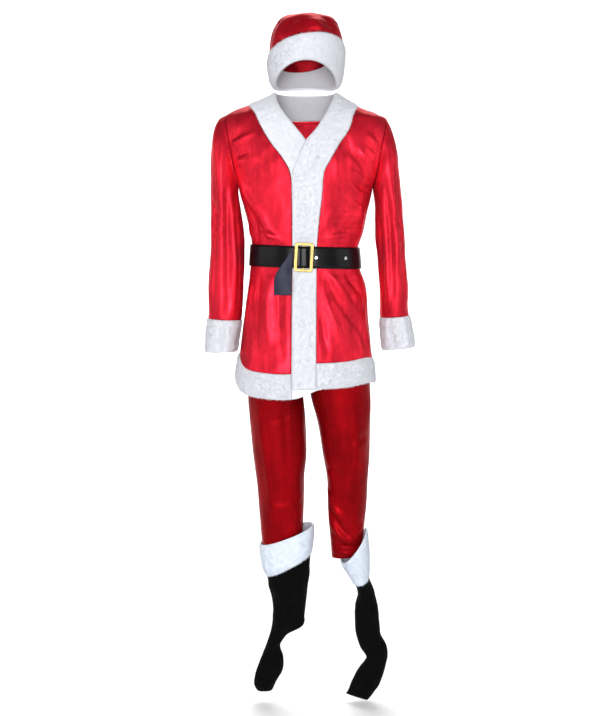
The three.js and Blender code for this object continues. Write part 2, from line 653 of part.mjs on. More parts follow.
function trousers() {
  const made = [];
  for (const [side, leg] of Object.entries(LEGS)) {
    made.push(legPanel(`trouser_${side}_front`, leg, 'front'));
    made.push(legPanel(`trouser_${side}_back`, leg, 'back'));
  }
  const top = LEGS.right.at(WAISTBAND.bottom);
  const waist = limpTube([
    { leftX: -top.out + 4, rightX: top.out - 5, leftZ: WAISTBAND.top, rightZ: WAISTBAND.top, depth: 82 },
    { leftX: -top.out, rightX: top.out - 2, leftZ: WAISTBAND.bottom, rightZ: WAISTBAND.bottom, depth: 84 },
  ]);
  made.push(tubeWall('waistband', DARK_VELVET, waist, {
    rows: [0, 1], around: 20, outer: 0.5, inner: -2.5,
  }));
  return made;
}

// ---------------------------------------------------------------- boot covers
// Each hangs limp from its fur cuff: sections from the cuff's rim to the toe.
const BOOTS = {
  right: limpTube([
    { leftX: -121, leftZ: -1150, rightX: 19, rightZ: -1097, depth: 60 },
    { leftX: -118, leftZ: -1180, rightX: 18, rightZ: -1124, depth: 59 },
    { leftX: -113, leftZ: -1210, rightX: 16, rightZ: -1150, depth: 57 },
    { leftX: -104, leftZ: -1238, rightX: 13, rightZ: -1177, depth: 54 },
    { leftX: -96, leftZ: -1276, rightX: 8, rightZ: -1240, depth: 47 },
    { leftX: -89, leftZ: -1314, rightX: 2, rightZ: -1300, depth: 41 },
    { leftX: -88, leftZ: -1350, rightX: -3, rightZ: -1345, depth: 36 },
    { leftX: -93, leftZ: -1388, rightX: -9, rightZ: -1376, depth: 31 },
    { leftX: -102, leftZ: -1418, rightX: -46, rightZ: -1396, depth: 26 },
    { leftX: -112, leftZ: -1446, rightX: -68, rightZ: -1430, depth: 22 },
    { leftX: -126, leftZ: -1482, rightX: -60, rightZ: -1470, depth: 25 },
    { leftX: -137, leftZ: -1518, rightX: -62, rightZ: -1500, depth: 26 },
    { leftX: -139, leftZ: -1540, rightX: -78, rightZ: -1530, depth: 22 },
    { leftX: -132, leftZ: -1556, rightX: -89, rightZ: -1554, depth: 12 },
    { leftX: -124, leftZ: -1561, rightX: -96, rightZ: -1560, depth: 4 },
  ]),
  left: limpTube([
    { leftX: 92, leftZ: -1195, rightX: 160, rightZ: -1106, depth: 55, sag: 14 },
    { leftX: 101, leftZ: -1208, rightX: 163, rightZ: -1144, depth: 52, sag: 13 },
    { leftX: 112, leftZ: -1226, rightX: 166, rightZ: -1186, depth: 47, sag: 12 },
    { leftX: 127, leftZ: -1252, rightX: 167, rightZ: -1238, depth: 41, sag: 10 },
    { leftX: 138, leftZ: -1290, rightX: 182, rightZ: -1284, depth: 36, sag: 4 },
    { leftX: 131, leftZ: -1330, rightX: 192, rightZ: -1326, depth: 34, sag: 0 },
    { leftX: 131, leftZ: -1366, rightX: 196, rightZ: -1366, depth: 32, sag: 0 },
    { leftX: 134, leftZ: -1400, rightX: 200, rightZ: -1400, depth: 29, sag: 0 },
    { leftX: 147, leftZ: -1440, rightX: 216, rightZ: -1432, depth: 26, sag: 0 },
    { leftX: 163, leftZ: -1464, rightX: 218, rightZ: -1462, depth: 24, sag: 0 },
    { leftX: 142, leftZ: -1498, rightX: 212, rightZ: -1500, depth: 26, sag: 0 },
    { leftX: 124, leftZ: -1532, rightX: 197, rightZ: -1540, depth: 25, sag: 0 },
    { leftX: 115, leftZ: -1556, rightX: 176, rightZ: -1574, depth: 14, sag: 0 },
    { leftX: 108, leftZ: -1567, rightX: 166, rightZ: -1586, depth: 4, sag: 0 },
  ]),
};
const BOOT_CUFF_ROW = 3;

function bootCovers() {
  const made = [];
  for (const [side, surface] of Object.entries(BOOTS)) {
    made.push(tubeWall(`boot_cuff_${side}`, FUR_WHITE, surface, {
      rows: steps(0, BOOT_CUFF_ROW, 3), around: 16, outer: FUR_PROUD, inner: -CLOTH,
    }));
    const count = surface.last - BOOT_CUFF_ROW;
    const rows = steps(BOOT_CUFF_ROW + 0.02, surface.last, count);
    for (const [half, from, shift] of [['near', 0, -HALF_SEAM], ['far', 180, HALF_SEAM]]) {
      made.push(tubeWall(`boot_${side}_${half}`, BOOT_BLACK, surface, {
        rows, around: 6, outer: 0, inner: -BOOT_CLOTH, from, to: from + 180, shift,
      }));
    }
  }
  return made;
}

// ---------------------------------------------------------------- hat
const HAT_ROLL = 8;
const HAT = { halfWidth: 94, front: 100, back: 108, middleX: 0, middleY: 4 };
/** The band's top and bottom edges: arched over the brow, low at the back, rolled to one side. */
const bandTop = (turn) => 117 + 32 * Math.sin(degToRad(turn)) + 13.5 * Math.cos(degToRad(turn));
const bandBottom = (turn) =>
  46 + 24 * Math.sin(degToRad(turn)) - 13 * Math.cos(degToRad(2 * turn));

/** The band's surface: level share 0 at its top edge and 1 at its bottom edge. */
const hatBandSurface = (turn, share) => {
  const [c, s] = [Math.cos(degToRad(turn)), Math.sin(degToRad(turn))];
  const depth = s < 0 ? HAT.back : HAT.front;
  const narrow = 1 - 0.12 * share ** 2 * (1 - Math.max(s, 0) ** 2);
  return new THREE.Vector3(
    HAT.middleX + HAT.halfWidth * narrow * c,
    HAT.middleY - depth * narrow * s,
    lerp(bandTop(turn), bandBottom(turn), share),
  );
};
hatBandSurface.step = 0.02;

// The crown's rings above the band: middle, pitch back from level, half width and half depth.
// The slack cone turns over at the top and hangs down behind the head.
const CROWN = numbered([
  { x: 0, y: 5, z: 117, pitch: 16, roll: 8, width: 94, depth: 104 },
  { x: 0, y: 8, z: 141, pitch: 15, roll: 5, width: 92, depth: 102 },
  { x: 1, y: 15, z: 168, pitch: 18, roll: 2, width: 85, depth: 90 },
  { x: 3, y: 31, z: 181, pitch: 25, roll: 0, width: 76, depth: 64 },
  { x: 3, y: 65, z: 185, pitch: 46, roll: 0, width: 66, depth: 36 },
  { x: 1, y: 99, z: 182, pitch: 80, roll: 0, width: 55, depth: 24 },
  { x: -2, y: 128, z: 157, pitch: 127, roll: 0, width: 47, depth: 19 },
  { x: -5, y: 142, z: 122, pitch: 165, roll: 0, width: 40, depth: 16 },
  { x: -8, y: 146, z: 96, pitch: 178, roll: 0, width: 33, depth: 14 },
  { x: -11, y: 148, z: 72, pitch: 180, roll: 0, width: 24, depth: 11 },
  { x: -14, y: 149, z: 52, pitch: 180, roll: 0, width: 13, depth: 8 },
]);
const CROWN_TIP = new THREE.Vector3(-15, 149, 44);
const CROWN_ROWS = 10;

const crownSurface = (turn, v) => {
  const row = CROWN(v);
  const c = signedPower(Math.cos(degToRad(turn)), 2 / BODY_POWER);
  const s = signedPower(Math.sin(degToRad(turn)), 2 / BODY_POWER);
  const point = new THREE.Vector3(row.width * c, -row.depth * s, 0);
  point.applyAxisAngle(new THREE.Vector3(0, 1, 0), -degToRad(row.roll));
  point.applyAxisAngle(new THREE.Vector3(1, 0, 0), -degToRad(row.pitch));
  return point.add(new THREE.Vector3(row.x, row.y, row.z));
};
crownSurface.step = -0.02;

function hat() {
  const around = 18;
  const crownFace = (distance) => (i, j) => {
    const turn = (i / around) * 360;
    if (j === 0) {
      const aboveBand = new THREE.Vector3(0, 0, 2 * SEAM_GAP);
      return movedOut(hatBandSurface, turn, 0, distance).add(aboveBand);
    }
    return movedOut(crownSurface, turn, j, distance);
  };
  const crown = wallMesh('hat_crown', DARK_VELVET, {
    across: around, down: CROWN_ROWS, tube: true,
    outer: (i, j) => crownFace(0)(around - i, j),
    inner: (i, j) => crownFace(-CLOTH)(around - i, j),
    tip: { outer: CROWN_TIP, inner: CROWN_TIP.clone().add(new THREE.Vector3(0, 0, CLOTH)) },
  });
  const bandRows = 4;
  const rolledIn = (j) => HAT_ROLL * (j / bandRows) ** 2; // the band's lower edge rolls inwards
  const bandFace = (off) => (i, j) =>
    movedOut(hatBandSurface, (i / around) * 360, j / bandRows, off(j));
  const band = wallMesh('hat_band', FUR_WHITE, {
    across: around, down: bandRows, tube: true,
    outer: bandFace(() => FUR_PROUD + 1), inner: bandFace((j) => -CLOTH - rolledIn(j)),
  });
  return [crown, band];
}

// ---------------------------------------------------------------- the whole suit
const group = new THREE.Group();
group.add(...hat());
group.add(jacketBack(), ...jacketFronts(), ...furBands(), backCollar(), ...hemBands(), ...sleeves());
group.add(belt(), beltTail(), ...buckle(), ...eyelets());
group.add(...trousers());
group.add(...bootCovers());

export default group;
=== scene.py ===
"""A santa suit as worn: velvet hat, belted jacket and trousers, fur trim and boot covers.

Tables and surfaces are in millimetres, meshes in metres. +Z is up, the front faces -Y and +X is
the wearer's left. Turn runs in degrees from the left side (+X, 0) over the front (90) and the
right side (180) to the back (270), and v runs downwards.
"""
import math

import bpy
import numpy as np
from bpy.props import FloatProperty, FloatVectorProperty, PointerProperty
from bpy.types import Operator, Panel, PropertyGroup
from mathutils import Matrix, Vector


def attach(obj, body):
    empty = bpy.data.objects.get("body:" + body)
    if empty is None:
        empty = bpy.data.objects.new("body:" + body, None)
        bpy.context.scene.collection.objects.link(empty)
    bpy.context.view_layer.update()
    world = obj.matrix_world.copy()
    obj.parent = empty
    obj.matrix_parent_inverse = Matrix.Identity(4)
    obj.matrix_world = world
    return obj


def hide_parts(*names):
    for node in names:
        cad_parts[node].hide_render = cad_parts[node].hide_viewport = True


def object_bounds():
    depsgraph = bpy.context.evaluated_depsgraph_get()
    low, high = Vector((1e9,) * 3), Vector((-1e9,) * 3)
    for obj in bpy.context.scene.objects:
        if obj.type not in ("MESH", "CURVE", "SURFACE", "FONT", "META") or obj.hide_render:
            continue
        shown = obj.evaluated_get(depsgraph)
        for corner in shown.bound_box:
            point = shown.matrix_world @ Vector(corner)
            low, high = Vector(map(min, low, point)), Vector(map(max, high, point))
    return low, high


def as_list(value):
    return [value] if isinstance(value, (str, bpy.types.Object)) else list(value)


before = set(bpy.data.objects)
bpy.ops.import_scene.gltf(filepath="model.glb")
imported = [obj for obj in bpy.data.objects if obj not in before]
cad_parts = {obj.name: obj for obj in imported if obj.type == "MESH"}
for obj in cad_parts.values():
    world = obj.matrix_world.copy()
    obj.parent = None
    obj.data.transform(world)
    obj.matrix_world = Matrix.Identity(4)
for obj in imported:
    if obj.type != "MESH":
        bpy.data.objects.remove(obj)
CAD_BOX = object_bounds()

bl_info = {
    "name": "Santa suit",
    "version": (1, 0, 0),
    "blender": (4, 5, 0),
    "location": "3D View > Sidebar > Santa suit",
    "description": "Builds a worn santa suit piece by piece",
    "category": "Object",
}

MM = 0.001
TUBE_POWER = 2.2
BODY_POWER = 2.3  # a superellipse: 2 is an ellipse, more is squarer
SEAM_GAP = 0.4
HALF_SEAM = SEAM_GAP / 2
WAIST_Z = -395.0  # the belt's middle line
HEM_SEAM_Z = -652.0
NECK_RIM_Z = 18.0
YOKE_Z = -19.0  # where the velvet of the body starts, at the shoulder seams
HEM_BAND = 67.0
FUR_REACH = 5.0  # how far the fur reaches out from the velvet beside it
CLOTH = 2.0
BOOT_CLOTH = 1.6


# ---------------------------------------------------------------- small maths
def lerp(a, b, t):
    return a + (b - a) * t


def smooth(v, low, high):
    """0 below low and 1 above high, with a soft S between."""
    t = np.clip((v - low) / (high - low), 0, 1)
    return t * t * (3 - 2 * t)


def signed_power(v, power):
    return np.sign(v) * np.abs(v) ** power


def around(turn):
    """Cosine and sine of a turn in degrees."""
    angle = np.radians(turn)
    return np.cos(angle), np.sin(angle)


def through(columns, rows):
    """The smooth curve through a table's rows: a cubic Hermite between each two, whose slopes
    join the rows on either side, and straight beyond the ends. The first column is its key."""
    names = columns.split()
    data = np.array(rows, float)
    keys, cols = data[:, 0], data[:, 1:]
    last = len(keys) - 1
    before = np.maximum(np.arange(last + 1) - 1, 0)
    after = np.minimum(np.arange(last + 1) + 1, last)
    slope = (cols[after] - cols[before]) / (keys[after] - keys[before])[:, None]
    way = 1 if keys[-1] > keys[0] else -1

    def at(v):
        v = np.asarray(v, float)
        i = np.clip(np.searchsorted(way * keys, way * v) - 1, 0, last - 1)
        span = (keys[i + 1] - keys[i])[..., None]
        t = (v - keys[i])[..., None] / span
        p, q = cols[i], cols[i + 1]
        m, n = slope[i] * span, slope[i + 1] * span
        curve = (
            (2 * t**3 - 3 * t * t + 1) * p
            + (t**3 - 2 * t * t + t) * m
            + (3 * t * t - 2 * t**3) * q
            + (t**3 - t * t) * n
        )
        found = np.where(t < 0, p + m * t, np.where(t > 1, q + n * (t - 1), curve))
        return dict(zip(names[1:], np.moveaxis(found, -1, 0)))

    return at


def numbered(columns, rows):
    """The curve through rows whose key is their own number."""
    return through("v " + columns, [(v, *row) for v, row in enumerate(rows)])


def xyz(x, y, z):
    return np.stack(np.broadcast_arrays(x, y, z), -1).astype(float)


def moved_out(surface, turn, v, distance):
    """Surface points moved along the normal, which is the cross product of the steps across and
    down the surface."""
    across = surface(turn + 0.4, v) - surface(turn - 0.4, v)
    down = surface(turn, v + surface.step) - surface(turn, v - surface.step)
    normal = np.cross(across, down)
    normal /= np.linalg.norm(normal, axis=-1, keepdims=True)
    return surface(turn, v) + normal * np.asarray(distance, float)[..., None]


# ---------------------------------------------------------------- unevenness
def swell(points, seed, wavelengths, height):
    """A smooth unevenness: twelve plane waves in seeded directions, whose lengths lie round the
    given ones along X, Y and Z, added up and scaled to the height."""
    rng = np.random.default_rng(seed)
    wave = rng.normal(size=(12, 3))
    wave /= np.linalg.norm(wave, axis=1, keepdims=True)
    wave *= 2 * np.pi / np.array(wavelengths, float) * rng.uniform(0.7, 1.4, (12, 1))
    phase = rng.uniform(0, 2 * np.pi, 12)
    return height * np.sin(points @ wave.T + phase).sum(-1) / math.sqrt(6)


def crease(points, line, width, height, peak):
    """How far a crease moves each point: its height times a bell of the distance to its line over
    its width. Along the line it rises softly to a peak and falls to nothing at both ends."""
    a, b = line[:-1], line[1:]
    flat = points.reshape(-1, 1, 3)
    ab = b - a
    t = np.clip(((flat - a) * ab).sum(-1) / (ab * ab).sum(-1), 0, 1)
    gap = ((flat - a - t[..., None] * ab) ** 2).sum(-1)
    nearest = gap.argmin(1)
    pick = np.arange(len(nearest))
    share = (nearest + t[pick, nearest]) / len(ab)
    rise = np.where(share < peak, share / peak, (1 - share) / (1 - peak))
    along = np.sin(np.clip(rise, 0, 1) * np.pi / 2) ** 1.2
    bell = np.exp(-gap[pick, nearest] / width**2)
    return (height * bell * along).reshape(points.shape[:-1])


def creases(points, surface, rows, to_turn=None):
    """The sum of a table's creases. A row is (path, width, height, peak): the path's points are
    (turn or x, v) on the surface, joined by a smooth curve."""
    total = np.zeros(points.shape[:-1])
    for path, width, height, peak in rows:
        curve = numbered("turn v", path)(np.linspace(0, len(path) - 1, 26))
        turn, v = curve["turn"], curve["v"]
        if to_turn:
            turn = to_turn(turn, v)
        total += crease(points, surface(turn, v), width, height, peak)
    return total


def edge_fade(grid_share, width, floor=0.0):
    """0 (or floor) at both ends of a 0 to 1 share, 1 inside a margin of that width."""
    return lerp(floor, 1.0, smooth(np.minimum(grid_share, 1 - grid_share), 0, width))


# ---------------------------------------------------------------- meshes
def new_piece(name, points, faces, material, node=None):
    """A mesh object from points in millimetres and faces, riding on the part's body."""
    mesh = bpy.data.meshes.new(name)
    mesh.from_pydata((points * MM).tolist(), [], faces)
    mesh.update()
    mesh.polygons.foreach_set("use_smooth", [True] * len(mesh.polygons))
    mesh.materials.append(material)
    piece = bpy.data.objects.new(name, mesh)
    bpy.context.scene.collection.objects.link(piece)
    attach(piece, "root")
    if node:
        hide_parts(node)
    return piece


def wall_faces(rows, columns, tube, tip=False):
    """Quads of a closed wall: an outer and an inner grid of rows x columns points, joined at
    their edges. A tube joins its last column to its first. tip leaves the last row open."""
    last = columns if tube else columns - 1
    i, j = np.meshgrid(np.arange(last), np.arange(rows - 1))
    i, j = i.ravel(), j.ravel()
    n = (i + 1) % columns

    def at(face, col, row):
        return (face * rows + row) * columns + col

    sets = [
        (at(0, i, j), at(0, n, j), at(0, n, j + 1), at(0, i, j + 1)),
        (at(1, i, j), at(1, i, j + 1), at(1, n, j + 1), at(1, n, j)),
    ]
    i = np.arange(last)
    n = (i + 1) % columns
    sets.append((at(0, n, 0), at(0, i, 0), at(1, i, 0), at(1, n, 0)))
    if not tip:
        d = rows - 1
        sets.append((at(0, i, d), at(0, n, d), at(1, n, d), at(1, i, d)))
    if not tube:
        j = np.arange(rows - 1)
        c = columns - 1
        sets.append((at(0, 0, j), at(0, 0, j + 1), at(1, 0, j + 1), at(1, 0, j)))
        sets.append((at(0, c, j + 1), at(0, c, j), at(1, c, j), at(1, c, j + 1)))
    quads = [np.stack(np.broadcast_arrays(*s), -1).reshape(-1, 4) for s in sets]
    return np.concatenate(quads).tolist()


def wall(name, outer, inner, material, node=None, tube=False, tip=None):
    """A closed cloth wall between an outer and an inner grid of points (rows, columns, 3). tip,
    two points, closes the last row of each face."""
    rows, columns = outer.shape[:2]
    faces = wall_faces(rows, columns, tube, tip is not None)
    points = np.concatenate([outer.reshape(-1, 3), inner.reshape(-1, 3)])
    if tip is not None:
        first = len(points)
        points = np.concatenate([points, np.array(tip, float)])
        i = np.arange(columns)
        n = (i + 1) % columns
        low, high = (rows - 1) * columns, (2 * rows - 1) * columns
        faces += np.stack([low + i, low + n, np.full(columns, first)], -1).tolist()
        faces += np.stack([high + n, high + i, np.full(columns, first + 1)], -1).tolist()
    return new_piece(name, points, faces, material, node)


PILE_RADIUS = 0.42
PILE_ROOT = 0.6  # how deep a fibre starts in the backing
PILE_LEAN = 0.6  # how far fibres lean along the comb, for 1 along the normal
PILE_SWIRL, PILE_STRAY = 0.12, 0.16  # and how far with the swirl and at random
PILE_RISE = 0.25  # the least a fibre rises along the normal
PILE_UNEVEN = (0.75, 1.1)  # shortest and longest fibre, over the given length
PILE_TUFTS = (15, 15, 15)  # wavelengths of the swirl


def pile(name, grid, count, seed, comb, length, material, tube=False, keep=None):
    """Fur fibres on a grid of points (rows, columns, 3). Each is a slim closed spike of three
    sides: it starts at a random spot, chosen evenly over the grid's area, and leans from the
    grid's normal towards the combing direction and a smooth seeded swirl, so that the fibres lie
    in small tufts. length is the fibre's, in millimetres; keep scales it over (row, column)."""
    rng = np.random.default_rng(seed)
    if tube:
        grid = np.concatenate([grid, grid[:, :1]], 1)
        keep = None if keep is None else np.concatenate([keep, keep[:, :1]], 1)
    a, b = grid[:-1, :-1], grid[:-1, 1:]
    c, d = grid[1:, 1:], grid[1:, :-1]
    cross = np.cross(c - a, b - d)
    area = np.linalg.norm(cross, axis=-1)
    normals = -cross / np.maximum(area, 1e-9)[..., None]
    spot = rng.choice(area.size, count, p=area.ravel() / area.sum())
    s, t = rng.random((2, count, 1))
    corner = [p.reshape(-1, 3)[spot] for p in (a, b, c, d)]
    root = lerp(lerp(corner[0], corner[1], s), lerp(corner[3], corner[2], s), t)
    normal = normals.reshape(-1, 3)[spot]
    swirl = np.stack([swell(root, seed + k, PILE_TUFTS, 1.0) for k in (1, 2, 3)], -1)
    way = normal + PILE_LEAN * np.array(comb, float) + PILE_SWIRL * swirl
    way += rng.normal(0, PILE_STRAY, (count, 3))
    inwards = np.minimum((way * normal).sum(-1, keepdims=True) - PILE_RISE, 0)
    way -= inwards * normal
    way /= np.linalg.norm(way, axis=-1, keepdims=True)
    reach = length * rng.uniform(*PILE_UNEVEN, (count, 1))
    if keep is not None:
        shown = keep[:-1, :-1].reshape(-1)[spot]
        reach = reach * shown[:, None]
        chosen = shown > 0.05
        root, way, reach, normal = root[chosen], way[chosen], reach[chosen], normal[chosen]
        count = len(root)
    side = np.cross(way, rng.normal(size=(count, 3)))
    side /= np.linalg.norm(side, axis=-1, keepdims=True)
    other = np.cross(way, side)
    root = root - PILE_ROOT * normal
    points = [root + way * reach]
    for k in range(3):
        angle = 2 * math.pi * k / 3
        points.append(root + PILE_RADIUS * (math.cos(angle) * side + math.sin(angle) * other))
    points = np.stack(points, 1).reshape(-1, 3)
    first = 4 * np.arange(count)[:, None]
    faces = first[:, :, None] + np.array([[0, 1, 2], [0, 2, 3], [0, 3, 1], [1, 3, 2]])
    return new_piece(name, points, faces.reshape(-1, 3).tolist(), material, None)


def rounded(rows, columns, top=0.0, bottom=0.0, first=0.0, last=0.0):
    """How full a padded edge is over a grid: 1 inside, and falling in a quarter round to 0 over
    the given share of the grid at each of its four edges; a share of 0 leaves the edge full."""
    down = np.linspace(0, 1, rows)[:, None]
    across = np.linspace(0, 1, columns)[None, :]
    full = np.ones((rows, columns))
    for share, width in ((down, top), (1 - down, bottom), (across, first), (1 - across, last)):
        if width:
            t = np.clip(share / width, 0, 1)
            full = full * np.sqrt(1 - (1 - t) ** 2)
    return full


# ---------------------------------------------------------------- the jacket's body
# Half sizes of the body's level sections, from the neck rim down to the hem.
BODY = through("z right left front back", [
    (22, 72, 70, 40, 66), (4, 98, 92, 52, 76), (-14, 142, 124, 64, 86),
    (-28, 178, 157, 73, 93), (-40, 205, 184, 80, 98), (-48, 206, 202, 84, 101),
    (-75, 201, 198, 93, 107), (-110, 194, 191, 101, 112), (-160, 184, 181, 110, 116),
    (-223, 172, 170, 115, 114), (-282, 156, 156, 112, 108), (-333, 144, 146, 106, 100),
    (-372, 139, 134, 102, 95), (-418, 143, 137, 102, 96), (-481, 150, 154, 107, 106),
    (-559, 161, 161, 115, 114), (-637, 171, 169, 122, 121), (-700, 181, 177, 127, 125),
    (-760, 185, 179, 129, 127),
])
# Each armhole is a loop in a slanted plane, from the shoulder tip down to the armpit.
ARMHOLES = {
    "right": {"tip_x": 205, "tip_z": -40, "pit_x": 172, "pit_z": -223, "depth": 56},
    "left": {"tip_x": 202, "tip_z": -48, "pit_x": 170, "pit_z": -223, "depth": 56},
}


def armhole_at(side, z):
    """Half the armhole's depth at a level, nothing outside it, and its distance from the middle."""
    hole = ARMHOLES[side]
    middle = (hole["tip_z"] + hole["pit_z"]) / 2
    k = np.abs((z - middle) / (hole["tip_z"] - middle))
    depth = hole["depth"] * np.clip(1 - k**TUBE_POWER, 0, None) ** (1 / TUBE_POWER)
    share = (z - hole["pit_z"]) / (hole["tip_z"] - hole["pit_z"])
    return depth, lerp(hole["pit_x"], hole["tip_x"], share)


def body_width(side, z, depth):
    """Half the body's width: beside an armhole the superellipse is widened so that it passes
    through the armhole's edge."""
    hole, x = armhole_at(side, z)
    share = np.clip(hole / depth, 0, 0.999)
    widened = x / (1 - share**BODY_POWER) ** (1 / BODY_POWER)
    return np.where(hole > 0, widened, BODY(z)[side])


def body(turn, z):
    """The jacket's body: level superellipse sections of the table's half sizes."""
    turn, z = np.broadcast_arrays(np.asarray(turn, float), np.asarray(z, float))
    c, s = around(turn)
    row = BODY(z)
    depth = np.where(s < 0, row["back"], row["front"])
    width = np.where(c < 0, body_width("right", z, depth), body_width("left", z, depth))
    power = 2 / BODY_POWER
    return xyz(width * signed_power(c, power), -depth * signed_power(s, power), z)


body.step = -0.8


def turn_at_x(x, z):
    """The turn at which the front of the body is x from the middle."""
    x, z = np.broadcast_arrays(np.asarray(x, float), np.asarray(z, float))
    depth = BODY(z)["front"]
    width = np.where(x < 0, body_width("right", z, depth), body_width("left", z, depth))
    share = np.minimum(np.abs(x) / width, 1) ** (BODY_POWER / 2)
    return 90 - np.sign(x) * np.degrees(np.arcsin(share))


def back_turn(x, z):
    """The turn at which the back of the body is x from the middle."""
    return 360 - turn_at_x(x, z)


def side_turn(side, face, z):
    """The turn from the side seam to a panel's edge there: the seam's gap, or the armhole."""
    y = np.maximum(armhole_at(side, z)[0], HALF_SEAM)
    return np.degrees(np.arcsin((y / BODY(z)[face]) ** (BODY_POWER / 2)))


# Where the front velvet ends and its fur band starts (seam), and the fur's free edge, in x.
RIGHT_FRONT = through("z seam free", [
    (20, -100, -77), (-14, -141, -67), (-40, -127, -52), (-73, -112, -26), (-112, -89, 4),
    (-150, -60, 22), (-187, -40, 28), (-240, -36, 28), (-365, -35, 26), (-560, -36, 34),
    (-760, -36, 44),
])
LEFT_FRONT = through("z seam free", [
    (20, 95, 74), (-16, 128, 58), (-40, 118, 46), (-80, 106, 22), (-116, 82, -8),
    (-158, 58, -25), (-187, 43, -36), (-240, 38, -36), (-303, 31, -36), (-365, 26, -36),
    (-560, 24, -36), (-760, 24, -36),
])
# How much lower the hem hangs than its level line, round the body.
HEM_DROP = {
    "under": through("turn drop", [(50, 8), (82, 8), (96, 30), (125, 31), (150, 22), (180, -8),
                                   (215, 0)]),
    "over": through("turn drop", [(-30, 10), (0, 4), (30, -3), (60, 3), (100, 6)]),
    "back": through("turn drop", [(180, -8), (215, 2), (270, 8), (325, 8), (360, 4)]),
}
UNDER_BAND = 3.0  # how far the band beneath stands out where it is lapped over
LAP_GAP = 1.4
LAP_TOP_Z = -100.0
LAP_RISE = 70.0  # the height over which the lap starts
LAP_FADE = (55.0, 112.0)  # in x, where the upper front comes down to the body again
BELT_PRESS = (34.0, 56.0)  # from the belt's middle line: pressed within, free beyond


def hung(face):
    """Below the waist every level line leans down to the hem, more the lower it is."""
    def level(turn, z):
        share = np.clip((WAIST_Z - z) / (WAIST_Z - HEM_SEAM_Z), 0, 1)
        return z - HEM_DROP[face](turn)["drop"] * share
    return level


def lap_lift(turn, z):
    """How far the upper front is lifted: all over the lap, fading out towards the side."""
    x = body(turn, z)[..., 0]
    started = 1 - smooth(z, LAP_TOP_Z, LAP_TOP_Z + LAP_RISE)
    return (UNDER_BAND + CLOTH + LAP_GAP) * (1 - smooth(x, *LAP_FADE)) * started


def belt_press(z):
    """1 under the belt, where the fur is pressed flat, and 0 away from it."""
    return 1 - smooth(np.abs(z - WAIST_Z), *BELT_PRESS)


NAPE_Z = -44.0


def collar_seam_z(turn):
    """The line where the back meets its collar: from the shoulder seams down to the nape."""
    return lerp(YOKE_Z, NAPE_Z, np.maximum(-around(turn)[1], 0) ** 0.8)


def back_span(z):
    return 180 + side_turn("right", "back", z), 360 - side_turn("left", "back", z)


def right_span(z):
    return turn_at_x(RIGHT_FRONT(z)["seam"] - SEAM_GAP, z), 180 - side_turn("right", "front", z)


def left_span(z):
    return side_turn("left", "front", z), turn_at_x(LEFT_FRONT(z)["seam"] + SEAM_GAP, z)


def spread(rows, columns, span, level=None):
    """Turn and level of a panel's grid: rows of levels, with columns evenly across each span."""
    start, end = span(rows)
    share = np.linspace(0, 1, columns + 1)[None, :]
    turn = lerp(start[:, None], end[:, None], share)
    z = np.broadcast_to(rows[:, None], turn.shape)
    return turn, (level(turn, z) if level else z)


# Creases of the jacket's cloth: path (x, z), half width, height (minus for a trough), peak.
FRONT_RIGHT_CREASES = [
    ([(-186, -118), (-152, -101), (-120, -84)], 7, 5.8, 0.25),
    ([(-184, -108), (-168, -92), (-150, -76)], 6, -4.8, 0.3),
    ([(-178, -146), (-157, -139), (-136, -133)], 6, -5.4, 0.3),
    ([(-180, -160), (-150, -160), (-118, -150)], 8, 3.5, 0.3),
    ([(-170, -190), (-150, -235), (-109, -296), (-74, -366)], 10, 7.4, 0.45),
    ([(-166, -214), (-140, -272), (-112, -318), (-92, -366)], 7, -6.7, 0.55),
    ([(-158, -222), (-134, -279), (-95, -333), (-52, -366)], 8, 6.1, 0.6),
    ([(-150, -262), (-128, -312), (-122, -368)], 7, -5.4, 0.6),
    ([(-119, -364), (-109, -336), (-77, -348), (-50, -366)], 7, 6.4, 0.5),
    ([(-100, -366), (-80, -356), (-62, -366)], 5, -3.8, 0.5),
    ([(-128, -370), (-140, -330), (-150, -300)], 7, 4.8, 0.3),
    ([(-64, -420), (-70, -500), (-62, -640)], 8, -5.1, 0.6),
    ([(-84, -424), (-98, -500), (-96, -648)], 12, 5.8, 0.65),
    ([(-112, -424), (-122, -500), (-128, -648)], 8, -4.8, 0.55),
    ([(-136, -424), (-146, -520), (-154, -650)], 10, 5.1, 0.6),
    ([(-48, -424), (-50, -520), (-46, -650)], 6, 2.6, 0.7),
]
FRONT_LEFT_CREASES = [
    ([(180, -140), (160, -122), (144, -106)], 7, -5.1, 0.3),
    ([(178, -128), (162, -104), (150, -86)], 7, 4.8, 0.3),
    ([(168, -200), (134, -162), (107, -130), (94, -84)], 8, -6.4, 0.35),
    ([(172, -184), (146, -150), (126, -118)], 7, 5.1, 0.35),
    ([(162, -234), (132, -218), (104, -204)], 8, -5.4, 0.3),
    ([(164, -216), (130, -196), (98, -176)], 8, 4.5, 0.3),
    ([(156, -270), (118, -246), (78, -228)], 8, -4.8, 0.35),
    ([(152, -318), (100, -316), (46, -306)], 8, -5.8, 0.4),
    ([(150, -300), (100, -290), (52, -284)], 8, 4.2, 0.4),
    ([(34, -356), (66, -344), (96, -342), (130, -372)], 7, 6.7, 0.5),
    ([(52, -370), (84, -360), (112, -372)], 5, -4.2, 0.5),
    ([(138, -372), (146, -346), (150, -322)], 7, 4.2, 0.3),
    ([(38, -424), (66, -480), (96, -526), (138, -584)], 8, -6.4, 0.4),
    ([(52, -420), (86, -478), (116, -520), (152, -566)], 8, 6.1, 0.35),
    ([(34, -450), (56, -520), (80, -580), (104, -644)], 9, 4.8, 0.5),
    ([(92, -420), (118, -462), (148, -500)], 8, -4.8, 0.3),
    ([(34, -520), (44, -590), (58, -648)], 8, -3.8, 0.5),
    ([(120, -560), (138, -610), (146, -650)], 8, 4.2, 0.6),
]
